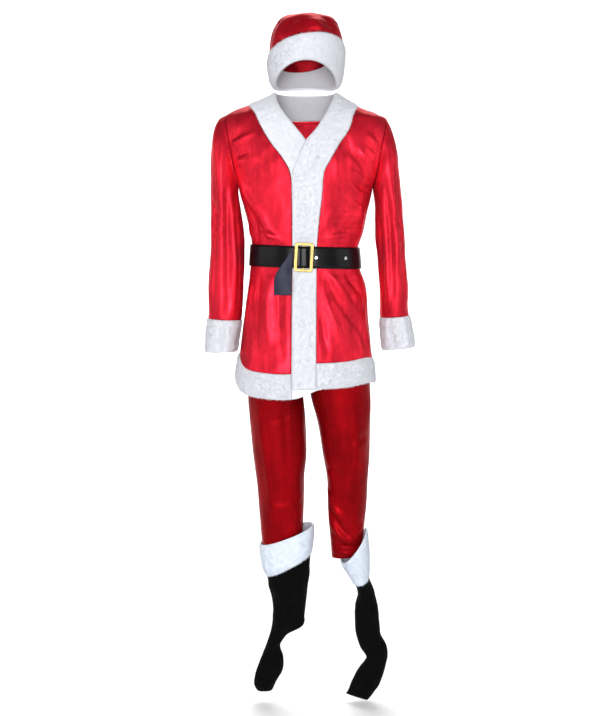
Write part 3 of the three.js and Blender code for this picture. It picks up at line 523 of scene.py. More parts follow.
BACK_CREASES = [
    ([(-176, -110), (-120, -96), (-60, -112)], 11, -4.2, 0.3),
    ([(-178, -140), (-130, -150), (-84, -190)], 10, 5.0, 0.3),
    ([(176, -118), (128, -112), (70, -124)], 11, -4.5, 0.3),
    ([(174, -150), (126, -172), (84, -226)], 10, 4.8, 0.3),
    ([(-150, -240), (-116, -300), (-84, -368)], 11, 5.9, 0.5),
    ([(-128, -250), (-92, -310), (-52, -368)], 8, -5.3, 0.5),
    ([(148, -246), (112, -308), (90, -368)], 11, 5.6, 0.5),
    ([(126, -262), (90, -318), (44, -366)], 8, -5.0, 0.5),
    ([(-60, -366), (-14, -340), (34, -364)], 8, 5.6, 0.5),
    ([(-98, -368), (-70, -344), (-34, -352)], 6, -3.9, 0.5),
    ([(40, -350), (74, -336), (104, -366)], 7, 4.2, 0.5),
    ([(-104, -424), (-112, -520), (-118, -648)], 12, 5.9, 0.6),
    ([(-76, -424), (-82, -520), (-78, -648)], 9, -5.3, 0.6),
    ([(-44, -422), (-44, -520), (-50, -648)], 12, 5.6, 0.6),
    ([(-12, -424), (-8, -520), (-16, -648)], 9, -4.8, 0.6),
    ([(22, -422), (28, -520), (20, -648)], 12, 5.3, 0.6),
    ([(54, -424), (60, -530), (58, -648)], 9, -5.0, 0.6),
    ([(86, -424), (98, -520), (96, -648)], 12, 6.2, 0.6),
    ([(118, -424), (126, -520), (132, -648)], 9, -4.2, 0.6),
]


def jacket_relief(points, rows, to_turn, seed, down, across):
    """The creases and slack of a jacket panel: less under the belt and at its seams."""
    relief = creases(points, body, rows, to_turn)
    relief += swell(points, seed, (70, 70, 120), 1.1) + swell(points, seed + 1, (26, 26, 48), 0.32)
    relief *= edge_fade(across, 0.06, 0.35) * edge_fade(down, 0.02, 0.5)
    press = belt_press(points[..., 2])
    return np.where(relief > 0, relief * (1 - press), relief * (1 - 0.5 * press))


def jacket_panels(sizes, velvet):
    """Back and two fronts: the body's surface moved out by the lap, the creases and the slack."""
    thick = sizes.cloth_wall / MM
    made = {}

    def yoke(turn, z):
        rise = smooth(z, -62, YOKE_Z) * (collar_seam_z(turn) - YOKE_Z)
        return hung("back")(turn, z) + rise

    table = [
        ("jacket_back", 148, 106, back_span, yoke, None, BACK_CREASES, back_turn, 11),
        ("jacket_front_right", 148, 54, right_span, hung("under"), None,
         FRONT_RIGHT_CREASES, turn_at_x, 21),
        ("jacket_front_left", 148, 54, left_span, hung("over"), lap_lift,
         FRONT_LEFT_CREASES, turn_at_x, 31),
    ]
    for node, rows, columns, span, level, lift, folds, to_turn, seed in table:
        turn, z = spread(np.linspace(YOKE_Z, HEM_SEAM_Z, rows + 1), columns, span, level)
        base = lift(turn, z) if lift else np.zeros_like(turn)
        down = np.linspace(0, 1, rows + 1)[:, None]
        across = np.linspace(0, 1, columns + 1)[None, :]
        points = body(turn, z)
        base = base + jacket_relief(points, folds, to_turn, seed, down, across)
        made[node] = wall(
            node + "_cloth", moved_out(body, turn, z, base),
            moved_out(body, turn, z, base - thick), velvet, node,
        )
    return made


# ---------------------------------------------------------------- the jacket's fur
PILE_STANDS = 3.6  # how much of the trim's reach is left to the pile
EDGE_SINK = 1.2  # how far the backing's rounded edges lie below the velvet
LUMPS, LUMP_HEIGHT = (17, 17, 17), 0.55


def fur_trim(node, face, shape, full, fur, count, seed, comb, tube=False,
             reach=FUR_REACH, back=CLOTH, keep=None, base=0.0, *, length):
    """A fur trim: a thin backing whose outside is padded up to the fullness, with small lumps,
    and the pile that stands on it. face(offset) gives the trim's grid at an offset."""
    padding = reach - PILE_STANDS
    lumps = swell(face(np.zeros(shape)), seed, LUMPS, LUMP_HEIGHT)
    outside = face(base - EDGE_SINK + (padding + EDGE_SINK + lumps) * full)
    inside = face(base - back)
    hide = wall(node + "_fur", outside, inside, fur, node, tube)
    fibres = pile(node + "_pile", outside, count, seed + 5, comb, length, fur, tube, keep)
    return hide, fibres


def jacket_fur(sizes, fur):
    """Front bands, back collar and hem: offsets from the jacket's body surface."""
    made = {}

    inset = 2.5  # the backing ends short of the trim's outline, and the pile fills it
    hem_end = HEM_SEAM_Z - HEM_BAND + inset

    def bands(node, span, face, offset, full_edges, count, seed, comb, keep, reach):
        rows = np.linspace(NECK_RIM_Z, hem_end, 236)
        turn, z = spread(rows, 18, span, hung(face))
        base = offset(turn, z)
        full = rounded(*turn.shape, **full_edges)
        made[node] = fur_trim(
            node, lambda off: moved_out(body, turn, z, off), turn.shape, full, fur,
            count, seed, comb, base=base, keep=keep(turn, z), reach=reach(turn, z),
            length=sizes.pile_length / MM,
        )

    def under_span(z):
        end = np.minimum(turn_at_x(RIGHT_FRONT(z)["seam"], z), 180 - side_turn("right", "front", z))
        return turn_at_x(RIGHT_FRONT(z)["free"] - inset, z), end

    def over_span(z):
        start = np.maximum(turn_at_x(LEFT_FRONT(z)["seam"], z), side_turn("left", "front", z))
        return start, turn_at_x(LEFT_FRONT(z)["free"] + inset, z)

    def under_keep(turn, z):
        """The fibres stop where the other front lies on them, and under the belt."""
        x = body(turn, z)[..., 0]
        covered = smooth(x, LEFT_FRONT(z)["free"] - 4, LEFT_FRONT(z)["free"] + 2)
        covered *= 1 - smooth(z, LAP_TOP_Z - 20, LAP_TOP_Z + 14)
        return (1 - covered) * (1 - 0.9 * belt_press(z))

    def under_reach(turn, z):
        return lerp(UNDER_BAND, FUR_REACH, smooth(z, LAP_TOP_Z, LAP_TOP_Z + 40)) + 0.6

    bands("front_band_right", under_span, "under", lambda turn, z: np.zeros_like(turn),
          {"top": 0.02, "bottom": 0.03, "first": 0.25, "last": 0.1}, 12000, 41,
          (0.1, 0, -1), under_keep, under_reach)
    bands("front_band_left", over_span, "over", lap_lift,
          {"top": 0.02, "bottom": 0.02, "first": 0.15, "last": 0.25}, 20000, 51,
          (-0.1, 0, -1), lambda turn, z: 1 - 0.86 * belt_press(z),
          lambda turn, z: lerp(FUR_REACH, 1.6, belt_press(z)))

    share, columns = np.linspace(0, 1, 20), 90

    def collar_level(turn, s):
        return lerp(NECK_RIM_Z, collar_seam_z(turn) + 2 * SEAM_GAP, s)

    turn, z = spread(share, columns, lambda s: back_span(collar_level(180, s)), collar_level)
    made["collar_back"] = fur_trim(
        "collar_back", lambda off: moved_out(body, turn, z, off), turn.shape,
        rounded(*turn.shape, top=0.3, bottom=0.15), fur, 8000, 61, (0, 0, -1),
        length=sizes.pile_length / MM,
    )
    hem = np.linspace(HEM_SEAM_Z - SEAM_GAP, hem_end, 20)
    table = [
        ("hem_band_back", back_span, "back", 110, None, 14000, 71),
        ("hem_band_right", right_span, "under", 48, None, 7200, 81),
        ("hem_band_left", left_span, "over", 48, lap_lift, 7200, 91),
    ]
    for node, span, face, columns, lift, count, seed in table:
        turn, z = spread(hem, columns, span, hung(face))
        base = lift(turn, z) if lift else 0.0

        def at(off, turn=turn, z=z):
            return moved_out(body, turn, z, off)

        made[node] = fur_trim(
            node, at, turn.shape, rounded(*turn.shape, top=0.15, bottom=0.25),
            fur, count, seed, (0, 0, -1), base=base, length=sizes.pile_length / MM,
        )
    return made


# ---------------------------------------------------------------- limp tubes
def limp_tube(columns, rows):
    """The surface of a limp tube: each row gives the left and right ends of a section and half
    its depth, so that a section can lie at any slant; sag lowers its front and back. out moves a
    point within its own section."""
    at = numbered(columns, rows)

    def surface(turn, v, out=0.0):
        turn, v = np.broadcast_arrays(np.asarray(turn, float), np.asarray(v, float))
        row = at(v)
        c, s = (signed_power(value, 2 / TUBE_POWER) for value in around(turn))
        half_x = (row["right_x"] - row["left_x"]) / 2
        half_z = (row["right_z"] - row["left_z"]) / 2
        grown = c * (1 + out / np.hypot(half_x, half_z))
        sag = row.get("sag", 0.0) * np.abs(s)
        return xyz(
            row["left_x"] + half_x + half_x * grown,
            -s * (row["depth"] + out),
            row["left_z"] + half_z + half_z * grown - sag,
        )

    surface.last = len(rows) - 1
    return surface


SECTION = "left_x left_z right_x right_z depth"
SLEEVES = {
    "right": limp_tube(SECTION, [
        (-206.2, -39.7, -173, -223.3, 56), (-224, -55, -172.8, -228, 61),
        (-237, -88, -172.6, -236, 65), (-242, -140, -171, -250, 67),
        (-242, -208, -169, -272, 66), (-242, -280, -167, -310, 64),
        (-244, -350, -163, -362, 61), (-246, -420, -161, -424, 58),
        (-250, -488, -162, -490, 55), (-253, -553, -168, -557, 53),
        (-257, -598, -175, -599, 54), (-260, -642, -181, -641, 55),
    ]),
    "left": limp_tube(SECTION, [
        (171, -223.3, 203.2, -47.7, 56), (171, -228, 217, -77, 61),
        (172, -237, 229, -118, 65), (174, -253, 236, -170, 67),
        (177, -277, 242, -230, 66), (181, -316, 248, -292, 64),
        (185, -368, 253, -358, 61), (188, -428, 257, -425, 58),
        (191, -490, 262, -488, 55), (193, -551, 266, -545, 52),
        (196, -594, 274, -588, 51), (200, -638, 281, -628, 50),
    ]),
}
CUFF_ROW = 9
# Creases of the sleeves: path (turn, v), half width, height, peak.
SLEEVE_CREASES = {
    "right": [
        ([(24, 1.2), (34, 3.5), (40, 6), (44, 9)], 8, -8.1, 0.6),
        ([(50, 2.4), (58, 4.5), (60, 7), (62, 9)], 8, 5.7, 0.6),
        ([(74, 1.6), (80, 4), (82, 6.5), (80, 9)], 7, -6.2, 0.55),
        ([(104, 1.2), (104, 4), (104, 7), (102, 9)], 10, 4.6, 0.6),
        ([(130, 3.0), (128, 5.5), (130, 9)], 8, -4.3, 0.6),
        ([(10, 2.6), (8, 5.5), (12, 9)], 9, 5.7, 0.5),
        ([(150, 0.4), (128, 1.6), (104, 2.6)], 9, -4.3, 0.3),
        ([(160, 4.4), (120, 5.0), (86, 4.6)], 8, -4.1, 0.4),
        ([(165, 5.2), (126, 5.7), (92, 5.5)], 8, 3.5, 0.4),
        ([(334, 1.5), (330, 4), (326, 7), (330, 9)], 9, -6.8, 0.6),
        ([(300, 2), (296, 5), (298, 9)], 10, 5.4, 0.6),
        ([(270, 1.4), (266, 5), (270, 9)], 8, -5.7, 0.6),
        ([(240, 2), (238, 5), (242, 9)], 10, 4.9, 0.6),
        ([(212, 3), (208, 6), (212, 9)], 8, -4.3, 0.6),
    ],
    "left": [
        ([(158, 1.2), (150, 3.5), (146, 6), (144, 9)], 8, -6.8, 0.6),
        ([(128, 2.4), (124, 4.5), (122, 7), (122, 9)], 9, 5.1, 0.6),
        ([(104, 1.6), (100, 4), (98, 6.5), (100, 9)], 7, -5.4, 0.55),
        ([(78, 1.2), (76, 4), (76, 7), (78, 9)], 10, 4.6, 0.6),
        ([(50, 3.0), (52, 5.5), (50, 9)], 8, -4.1, 0.6),
        ([(172, 2.6), (172, 5.5), (168, 9)], 9, 4.9, 0.5),
        ([(26, 4.6), (60, 5.2), (96, 4.7)], 8, -4.1, 0.4),
        ([(20, 5.6), (60, 6.0), (90, 5.8)], 8, 3.2, 0.4),
        ([(206, 1.5), (210, 4), (214, 7), (210, 9)], 9, -6.2, 0.6),
        ([(240, 2), (244, 5), (242, 9)], 10, 5.1, 0.6),
        ([(270, 1.4), (274, 5), (270, 9)], 8, -5.7, 0.6),
        ([(300, 2), (302, 5), (298, 9)], 10, 4.6, 0.6),
        ([(330, 3), (332, 6), (328, 9)], 8, -4.3, 0.6),
    ],
}
CUFF_CREASES = {
    "right": [
        ([(86, 8.9), (84, 10), (84, 11.2)], 8, -5.2, 0.7),
        ([(270, 8.9), (266, 10), (268, 11.2)], 9, -4.7, 0.7),
        ([(20, 8.9), (22, 10), (20, 11.2)], 8, -3.9, 0.7),
    ],
    "left": [
        ([(118, 8.9), (112, 10), (104, 11.2)], 8, -7.8, 0.8),
        ([(66, 8.9), (64, 10), (66, 11.2)], 8, 3.4, 0.7),
        ([(268, 8.9), (270, 10), (266, 11.2)], 9, -4.7, 0.7),
    ],
}


def ring(columns):
    """Turns of a closed ring's columns."""
    return np.linspace(0, 360, columns, endpoint=False)[None, :]


def sleeves(sizes, velvet, fur):
    """Two sleeves and their cuffs: limp tubes moved out by their creases and slack."""
    thick = sizes.cloth_wall / MM
    made = {}
    for side, tube in SLEEVES.items():
        seed = 101 if side == "right" else 131
        turn, v = np.broadcast_arrays(ring(78), np.linspace(0, CUFF_ROW, 130)[:, None])
        points = tube(turn, v)
        relief = creases(points, tube, SLEEVE_CREASES[side])
        relief += swell(points, seed, (60, 60, 150), 1.2) + swell(points, seed + 1, (26, 26, 60), 0.4)
        relief *= smooth(v, 0, 0.8) * lerp(1, 0.4, smooth(v, CUFF_ROW - 0.3, CUFF_ROW))
        node = f"sleeve_{side}"
        made[node] = wall(
            node + "_cloth", tube(turn, v, relief), tube(turn, v, relief - thick),
            velvet, node, tube=True,
        )
        turn, v = np.broadcast_arrays(ring(72), np.linspace(CUFF_ROW + 0.01, tube.last - 0.06, 22)[:, None])
        folds = creases(tube(turn, v), tube, CUFF_CREASES[side])

        def at(off, turn=turn, v=v, tube=tube):
            return tube(turn, v, off)

        node = f"cuff_{side}"
        made[node] = fur_trim(
            node, at, turn.shape, rounded(*turn.shape, top=0.12, bottom=0.22), fur,
            11000, seed + 7, (0, 0, -1), tube=True, base=folds, length=sizes.pile_length / MM,
        )
    return made


# ---------------------------------------------------------------- belt
BELT_OFF = 2.0  # the strap's inner face off the velvet
BELT_OVER_FUR = 8.8  # and where it crosses the lapped fur
BUCKLE_X = -6.0
BUCKLE_WIDTH = 47.0
BAR_WIDTH, BAR_TOP = 5.0, 4.3
TAIL = numbered("z left_x right_x off layers", [
    (-380, -37, -33, 14.6, 1), (-402, -49, -33, 15.5, 1.6), (-427, -64, -34, 16, 1.8),
    (-450, -74, -35, 16, 1.2), (-490, -75, -36, 16, 1),
])


def belt_middle(x):
    return WAIST_Z - 0.03 * x


def strap_off(turn):
    """How far the strap's inner face stands off the jacket: it crosses the lapped fur in front."""
    x = body(turn, WAIST_Z)[..., 0]
    hill = smooth(x, -100, -42) * (1 - smooth(x, 40, 122)) * (around(turn)[1] > 0)
    return lerp(BELT_OFF, BELT_OVER_FUR, hill)


def on_strap(turn, share, off, height):
    """Points off the strap's inner face: share runs straight from its top to its bottom edge."""
    x = body(turn, WAIST_Z)[..., 0]
    top, bottom = (
        moved_out(body, turn, belt_middle(x) + side * height / 2, strap_off(turn) + off)
        for side in (1, -1)
    )
    return lerp(top, bottom, share[..., None])


def belt(sizes, vinyl, reverse, brass, metal):
    """The strap runs once round the waist, climbs over the buckle's bar and lies on its own
    other end. Its free end is folded down beside the buckle."""
    height, thick = sizes.belt_height / MM, sizes.belt_thickness / MM
    start = turn_at_x(BUCKLE_X - BAR_WIDTH / 2 - 1.5, WAIST_Z)
    at_buckle = 360 + turn_at_x(np.linspace(24, BUCKLE_X - BUCKLE_WIDTH / 2 - 2, 40), WAIST_Z)
    along = np.concatenate([
        np.linspace(start, 134, 36), np.linspace(136, 398, 150),
        np.linspace(400, 432, 22), at_buckle,
    ])
    x = body(along, WAIST_Z)[..., 0]
    over_bar = (BAR_TOP + SEAM_GAP) * smooth(-np.abs(x - BUCKLE_X), -13, -5)
    over_end = (thick + SEAM_GAP) * smooth(-x, 8, 18)
    climb = np.where(along < 405, 0, np.maximum(over_bar, over_end))
    share, turn = np.meshgrid(np.linspace(0, 1, 9), along % 360, indexing="ij")
    bulge = 0.35 * np.sin(np.pi * share)
    strap = wall(
        "belt_strap_face", on_strap(turn, share, climb + thick + bulge, height),
        on_strap(turn, share, climb, height), vinyl, "belt_strap",
    )
    v, across = np.meshgrid(np.linspace(0, 4, 44), np.linspace(0, 1, 14), indexing="ij")
    row = TAIL(v)
    x = lerp(row["right_x"], row["left_x"], across)
    turn = turn_at_x(x, row["z"])
    ripple = 1.1 * np.sin(across * 5.4 + v * 1.1) * smooth(v, 0.6, 2.2)
    tail = wall(
        "belt_tail_end",
        moved_out(body, turn, row["z"], row["off"] + 0.6 * thick * row["layers"] + ripple),
        moved_out(body, turn, row["z"], row["off"] - 0.4 * thick * row["layers"] + ripple),
        reverse, "belt_tail",
    )
    for node, material in (("buckle_frame", brass), ("buckle_bar", brass),
                           ("eyelet_near", metal), ("eyelet_far", metal)):
        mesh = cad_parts[node].data
        mesh.materials.clear()
        mesh.materials.append(material)
    return {"belt_strap": strap, "belt_tail": tail}


# ---------------------------------------------------------------- trousers
LEG_COLUMNS = "z out in front back"
LEGS = {
    "right": (-1, -1178, -1140, through(LEG_COLUMNS, [
        (-372, 126, 0, 86, 82), (-440, 132, 0, 88, 88), (-520, 143, 0, 92, 98),
        (-600, 149, 0, 93, 102), (-680, 151, 4, 90, 98), (-753, 151, 8, 84, 90),
        (-821, 146, 1, 76, 82), (-901, 139, -2, 69, 74), (-968, 131, 4, 64, 68),
        (-1035, 124, 5, 59, 62), (-1116, 119, 8, 53, 56), (-1180, 112, 12, 46, 48),
    ])),
    "left": (1, -1176, -1188, through(LEG_COLUMNS, [
        (-372, 124, 0, 86, 82), (-440, 130, 0, 88, 88), (-520, 146, 0, 92, 98),
        (-600, 154, 0, 93, 102), (-680, 163, 4, 90, 98), (-753, 167, 12, 83, 90),
        (-835, 168, 32, 74, 80), (-914, 166, 45, 66, 71), (-981, 162, 56, 60, 64),
        (-1062, 158, 58, 53, 56), (-1144, 150, 65, 43, 44), (-1190, 146, 69, 37, 38),
    ])),
}
WAISTBAND = (-338.0, -372.0)
CROTCH = (-560.0, -724.0)
# Creases of the trouser panels: path (u, z), half width, height, peak. u is 0 at the outer seam.
LEG_CREASES = {
    ("right", "front"): [
        ([(0.30, -740), (0.34, -900), (0.38, -1100)], 9, 4.4, 0.5),
        ([(0.62, -730), (0.58, -860), (0.60, -1000)], 8, -4.0, 0.5),
        ([(0.12, -1130), (0.4, -1150), (0.8, -1130)], 7, 5.2, 0.5),
        ([(0.85, -760), (0.6, -800), (0.35, -810)], 8, -3.6, 0.3),
        ([(0.9, -1010), (0.55, -1040), (0.2, -1036)], 8, 3.2, 0.4),
    ],
    ("left", "front"): [
        ([(0.98, -990), (0.7, -1050), (0.42, -1106)], 7, 8.8, 0.45),
        ([(0.98, -1020), (0.74, -1074), (0.46, -1130)], 6, -7.6, 0.45),
        ([(0.96, -1066), (0.6, -1122), (0.34, -1146)], 7, 8.0, 0.5),
        ([(0.95, -1140), (0.5, -1150), (0.1, -1150)], 6, -7.2, 0.5),
        ([(0.9, -1160), (0.5, -1168), (0.12, -1164)], 6, 6.0, 0.5),
        ([(0.95, -936), (0.7, -950), (0.5, -958)], 7, -4.4, 0.4),
        ([(0.55, -866), (0.3, -860), (0.1, -850)], 8, -3.6, 0.5),
        ([(0.4, -740), (0.36, -860), (0.4, -980)], 10, 4.4, 0.5),
        ([(0.1, -1090), (0.3, -1110), (0.5, -1140)], 7, 4.4, 0.4),
    ],
    ("right", "back"): [
        ([(0.3, -740), (0.34, -900), (0.3, -1100)], 10, 6.0, 0.5),
        ([(0.6, -740), (0.62, -880), (0.6, -1060)], 9, -5.6, 0.5),
        ([(0.9, -900), (0.5, -930), (0.15, -915)], 8, -5.6, 0.5),
        ([(0.9, -930), (0.5, -960), (0.15, -950)], 8, 5.2, 0.5),
    ],
    ("left", "back"): [
        ([(0.34, -740), (0.3, -900), (0.34, -1100)], 10, 6.0, 0.5),
        ([(0.62, -740), (0.6, -880), (0.62, -1060)], 9, -5.6, 0.5),
        ([(0.9, -900), (0.5, -925), (0.15, -905)], 8, -6.0, 0.5),
        ([(0.9, -935), (0.5, -955), (0.15, -940)], 8, 5.2, 0.5),
        ([(0.95, -1080), (0.5, -1110), (0.15, -1130)], 7, 5.6, 0.5),
    ],
}


def leg_surface(sign, table, face):
    """A leg panel: u runs from the outer side seam over the front or back to the centre seam
    and, below the crotch, to the inner leg seam. A quarter of the hips' section grows into half
    a tube."""
    facing = -1 if face == "front" else 1

    def surface(u, z):
        u, z = np.broadcast_arrays(np.asarray(u, float), np.asarray(z, float))
        row = table(z)
        grown = smooth(-z, -CROTCH[0], -CROTCH[1])
        power = 2 / TUBE_POWER
        quarter, half = np.radians(90 * u), np.radians(180 * u)
        middle, radius = (row["out"] + row["in"]) / 2, (row["out"] - row["in"]) / 2
        x = lerp(row["out"] * signed_power(np.cos(quarter), power),
                 middle + radius * signed_power(np.cos(half), power), grown)
        y = row[face] * lerp(signed_power(np.sin(quarter), power),
                             signed_power(np.sin(half), power), grown)
        return xyz(sign * (x + HALF_SEAM), facing * (y + HALF_SEAM), z)

    return surface


def trousers(sizes, velvet):
    """Four leg panels moved out by their creases, and the waistband's ring."""
    thick = sizes.cloth_wall / MM
    made = {}
    for side, (sign, hem_out, hem_in, table) in LEGS.items():
        for face in ("front", "back"):
            surface = leg_surface(sign, table, face)
            outwards = sign * (1 if face == "front" else -1)
            share = np.linspace(0, 1, 36)[None, :]
            if outwards < 0:
                share = share[:, ::-1]
            down = np.linspace(0, 1, 132)[:, None]
            u, down = np.broadcast_arrays(share, down)
            z = lerp(WAISTBAND[1] - SEAM_GAP, lerp(hem_out, hem_in, u), down)
            low, high = np.maximum(u - 0.01, 0.002), np.minimum(u + 0.01, 0.998)
            normal = np.cross(surface(high, z) - surface(low, z),
                              surface(u, z - 1) - surface(u, z + 1))
            normal *= outwards / np.linalg.norm(normal, axis=-1, keepdims=True)
            points = surface(u, z)
            relief = creases(points, surface, LEG_CREASES[side, face])
            relief += swell(points, 200 + sign + (face == "back") * 7, (60, 60, 110), 0.9)
            relief *= edge_fade(u, 0.05, 0.2) * edge_fade(down, 0.02, 0.3)
            node = f"trouser_{side}_{face}"
            made[node] = wall(
                node + "_cloth", points + normal * relief[..., None],
                points + normal * (relief - thick)[..., None], velvet, node,
            )
    top = LEGS["right"][3](WAISTBAND[1])["out"]
    band = limp_tube(SECTION, [
        (-top + 4, WAISTBAND[0], top - 5, WAISTBAND[0], 82),
        (-top, WAISTBAND[1], top - 2, WAISTBAND[1], 84),
    ])
    turn, v = np.broadcast_arrays(ring(160), np.linspace(0, 1, 12)[:, None])
    gathers = 0.7 * np.sin(np.radians(turn * 36)) * np.sin(np.pi * v)
    made["waistband"] = wall(
        "waistband_cloth", band(turn, v, 0.5 + gathers), band(turn, v, gathers - 1.6),
        velvet, "waistband", tube=True,
    )
    return made


# ---------------------------------------------------------------- boot covers
BOOTS = {
    "right": limp_tube(SECTION, [
        (-121, -1150, 19, -1097, 60), (-118, -1180, 18, -1124, 59),
        (-113, -1210, 16, -1150, 57), (-104, -1238, 13, -1177, 54),
        (-96, -1276, 8, -1240, 47), (-89, -1314, 2, -1300, 41), (-88, -1350, -3, -1345, 36),
        (-93, -1388, -9, -1376, 31), (-102, -1418, -46, -1396, 26),
        (-112, -1446, -68, -1430, 22), (-126, -1482, -60, -1470, 25),
        (-137, -1518, -62, -1500, 26), (-139, -1540, -78, -1530, 22),
        (-132, -1556, -89, -1554, 12), (-124, -1561, -96, -1560, 4),
    ]),
    "left": limp_tube(SECTION + " sag", [
        (92, -1195, 160, -1106, 55, 14), (101, -1208, 163, -1144, 52, 13),
        (112, -1226, 166, -1186, 47, 12), (127, -1252, 167, -1238, 41, 10),
        (138, -1290, 182, -1284, 36, 4), (131, -1330, 192, -1326, 34, 0),
        (131, -1366, 196, -1366, 32, 0), (134, -1400, 200, -1400, 29, 0),
        (147, -1440, 216, -1432, 26, 0), (163, -1464, 218, -1462, 24, 0),
        (142, -1498, 212, -1500, 26, 0), (124, -1532, 197, -1540, 25, 0),
        (115, -1556, 176, -1574, 14, 0), (108, -1567, 166, -1586, 4, 0),
    ]),
}
BOOT_CUFF_ROW = 3
BOOT_CREASES = {
    "right": [
        ([(30, 5), (80, 5.6), (130, 5.2)], 6, -3.8, 0.5),
        ([(20, 7), (80, 7.4), (140, 7.0)], 5, -4.3, 0.5),
        ([(20, 8.2), (90, 8.6), (150, 8.4)], 5, 3.6, 0.5),
        ([(30, 9.4), (90, 9.1), (150, 9.6)], 5, -4.1, 0.5),
        ([(100, 3.4), (96, 5), (100, 7)], 8, 3.8, 0.5),
        ([(100, 10), (84, 11.4), (70, 12.6)], 6, -3.1, 0.5),
        ([(210, 7), (270, 7.4), (330, 7.2)], 5, -4.1, 0.5),
        ([(210, 9.4), (270, 9.1), (330, 9.6)], 5, -3.8, 0.5),
        ([(260, 3.4), (266, 5), (262, 7)], 8, 3.6, 0.5),
    ],
    "left": [
        ([(30, 4), (90, 4.3), (150, 4.0)], 6, 3.6, 0.5),
        ([(30, 5.4), (90, 5.8), (150, 5.4)], 5, -3.8, 0.5),
        ([(20, 7.6), (90, 8.0), (150, 8.2)], 5, -4.1, 0.5),
        ([(30, 9.0), (90, 8.7), (150, 9.2)], 5, 3.6, 0.5),
        ([(96, 5), (100, 6.5), (96, 8)], 8, 3.4, 0.5),
        ([(110, 9.6), (90, 11), (80, 12)], 6, -3.1, 0.5),
        ([(210, 7.6), (270, 8.0), (330, 8.2)], 5, -3.8, 0.5),
        ([(210, 5.4), (270, 5.8), (330, 5.4)], 5, -3.6, 0.5),
    ],
}


def boot_covers(sizes, fur, black):
    """Limp boot covers: a fur cuff, and two halves moved out by their creases."""
    made = {}
    for side, tube in BOOTS.items():
        seed = 301 if side == "right" else 331
        turn, v = np.broadcast_arrays(ring(80), np.linspace(0.06, BOOT_CUFF_ROW, 22)[:, None])

        def at(off, turn=turn, v=v, tube=tube):
            return tube(turn, v, off)

        node = f"boot_cuff_{side}"
        made[node] = fur_trim(
            node, at, turn.shape, rounded(*turn.shape, top=0.22, bottom=0.16), fur,
            11000, seed, (0, 0, -1), tube=True, length=sizes.pile_length / MM,
        )
        for half, start, shift in (("near", 0, -HALF_SEAM), ("far", 180, HALF_SEAM)):
            turn, v = np.broadcast_arrays(
                np.linspace(start, start + 180, 39)[None, :],
                np.linspace(BOOT_CUFF_ROW + 0.02, tube.last, 100)[:, None],
            )
            points = tube(turn, v)
            relief = creases(points, tube, BOOT_CREASES[side])
            relief += swell(points, seed + 9, (50, 50, 60), 0.9)
            relief += swell(points, seed + 10, (20, 20, 24), 0.35)
            relief *= edge_fade((turn - start) / 180, 0.08, 0.0)
            relief *= smooth(v, BOOT_CUFF_ROW, BOOT_CUFF_ROW + 0.4)
            relief *= 1 - 0.8 * smooth(v, tube.last - 1.6, tube.last)
            drawn = np.array([0, shift, 0])
            node = f"boot_{side}_{half}"
            made[node] = wall(
                node + "_cloth", tube(turn, v, relief) + drawn,
                tube(turn, v, relief - BOOT_CLOTH) + drawn, black, node,
            )
    return made


# ---------------------------------------------------------------- hat
HAT_ROLL = 8.0
HAT_HALF_WIDTH, HAT_FRONT, HAT_BACK, HAT_Y = 94.0, 100.0, 108.0, 4.0
CROWN = numbered("x y z pitch roll width depth", [
    (0, 5, 117, 16, 8, 94, 104), (0, 8, 141, 15, 5, 92, 102), (1, 15, 168, 18, 2, 85, 90),
    (3, 31, 181, 25, 0, 76, 64), (3, 65, 185, 46, 0, 66, 36), (1, 99, 182, 80, 0, 55, 24),
    (-2, 128, 157, 127, 0, 47, 19), (-5, 142, 122, 165, 0, 40, 16),
    (-8, 146, 96, 178, 0, 33, 14), (-11, 148, 72, 180, 0, 24, 11), (-14, 149, 52, 180, 0, 13, 8),
])
CROWN_TIP = (-15.0, 149.0, 44.0)
CROWN_ROWS = 10
CROWN_CREASES = [
    ([(40, 0.6), (58, 1.6), (80, 2.4)], 8, -4.8, 0.4),
    ([(128, 0.6), (112, 1.4), (98, 2.2)], 8, -4.2, 0.4),
    ([(60, 0.2), (74, 1.0), (92, 1.9)], 8, 3.9, 0.4),
    ([(150, 0.4), (136, 1.5), (120, 2.4)], 9, 3.4, 0.4),
    ([(10, 0.6), (20, 1.8), (40, 3)], 9, -4.2, 0.4),
    ([(172, 0.6), (162, 1.8), (146, 3)], 9, -3.6, 0.4),
    ([(210, 5.2), (250, 6.2), (290, 6.0)], 7, -4.8, 0.5),
    ([(250, 1.2), (262, 2.4), (268, 3.6)], 8, -4.5, 0.4),
    ([(290, 1.0), (286, 2.4), (280, 3.6)], 8, 4.2, 0.4),
    ([(80, 6), (86, 7.5), (84, 9)], 5, -3.6, 0.5),
    ([(110, 5.4), (106, 7), (108, 8.6)], 6, 3.4, 0.5),
]


def band_top(turn):
    """The hat band's top edge: high over the brow, low at the back, rolled to one side."""
    c, s = around(turn)
    return 117 + 32 * s + 13.5 * c


def band_bottom(turn):
    """Its bottom edge, arched over the brow."""
    return 46 + 24 * around(turn)[1] - 13 * around(2 * turn)[0]


def hat_band_surface(turn, share):
    """An oval ring whose level runs from the top edge (0) to the bottom edge (1)."""
    turn, share = np.broadcast_arrays(np.asarray(turn, float), np.asarray(share, float))
    c, s = around(turn)
    depth = np.where(s < 0, HAT_BACK, HAT_FRONT)
    narrow = 1 - 0.12 * share**2 * (1 - np.maximum(s, 0) ** 2)
    return xyz(HAT_HALF_WIDTH * narrow * c, HAT_Y - depth * narrow * s,
               lerp(band_top(turn), band_bottom(turn), share))


hat_band_surface.step = 0.02


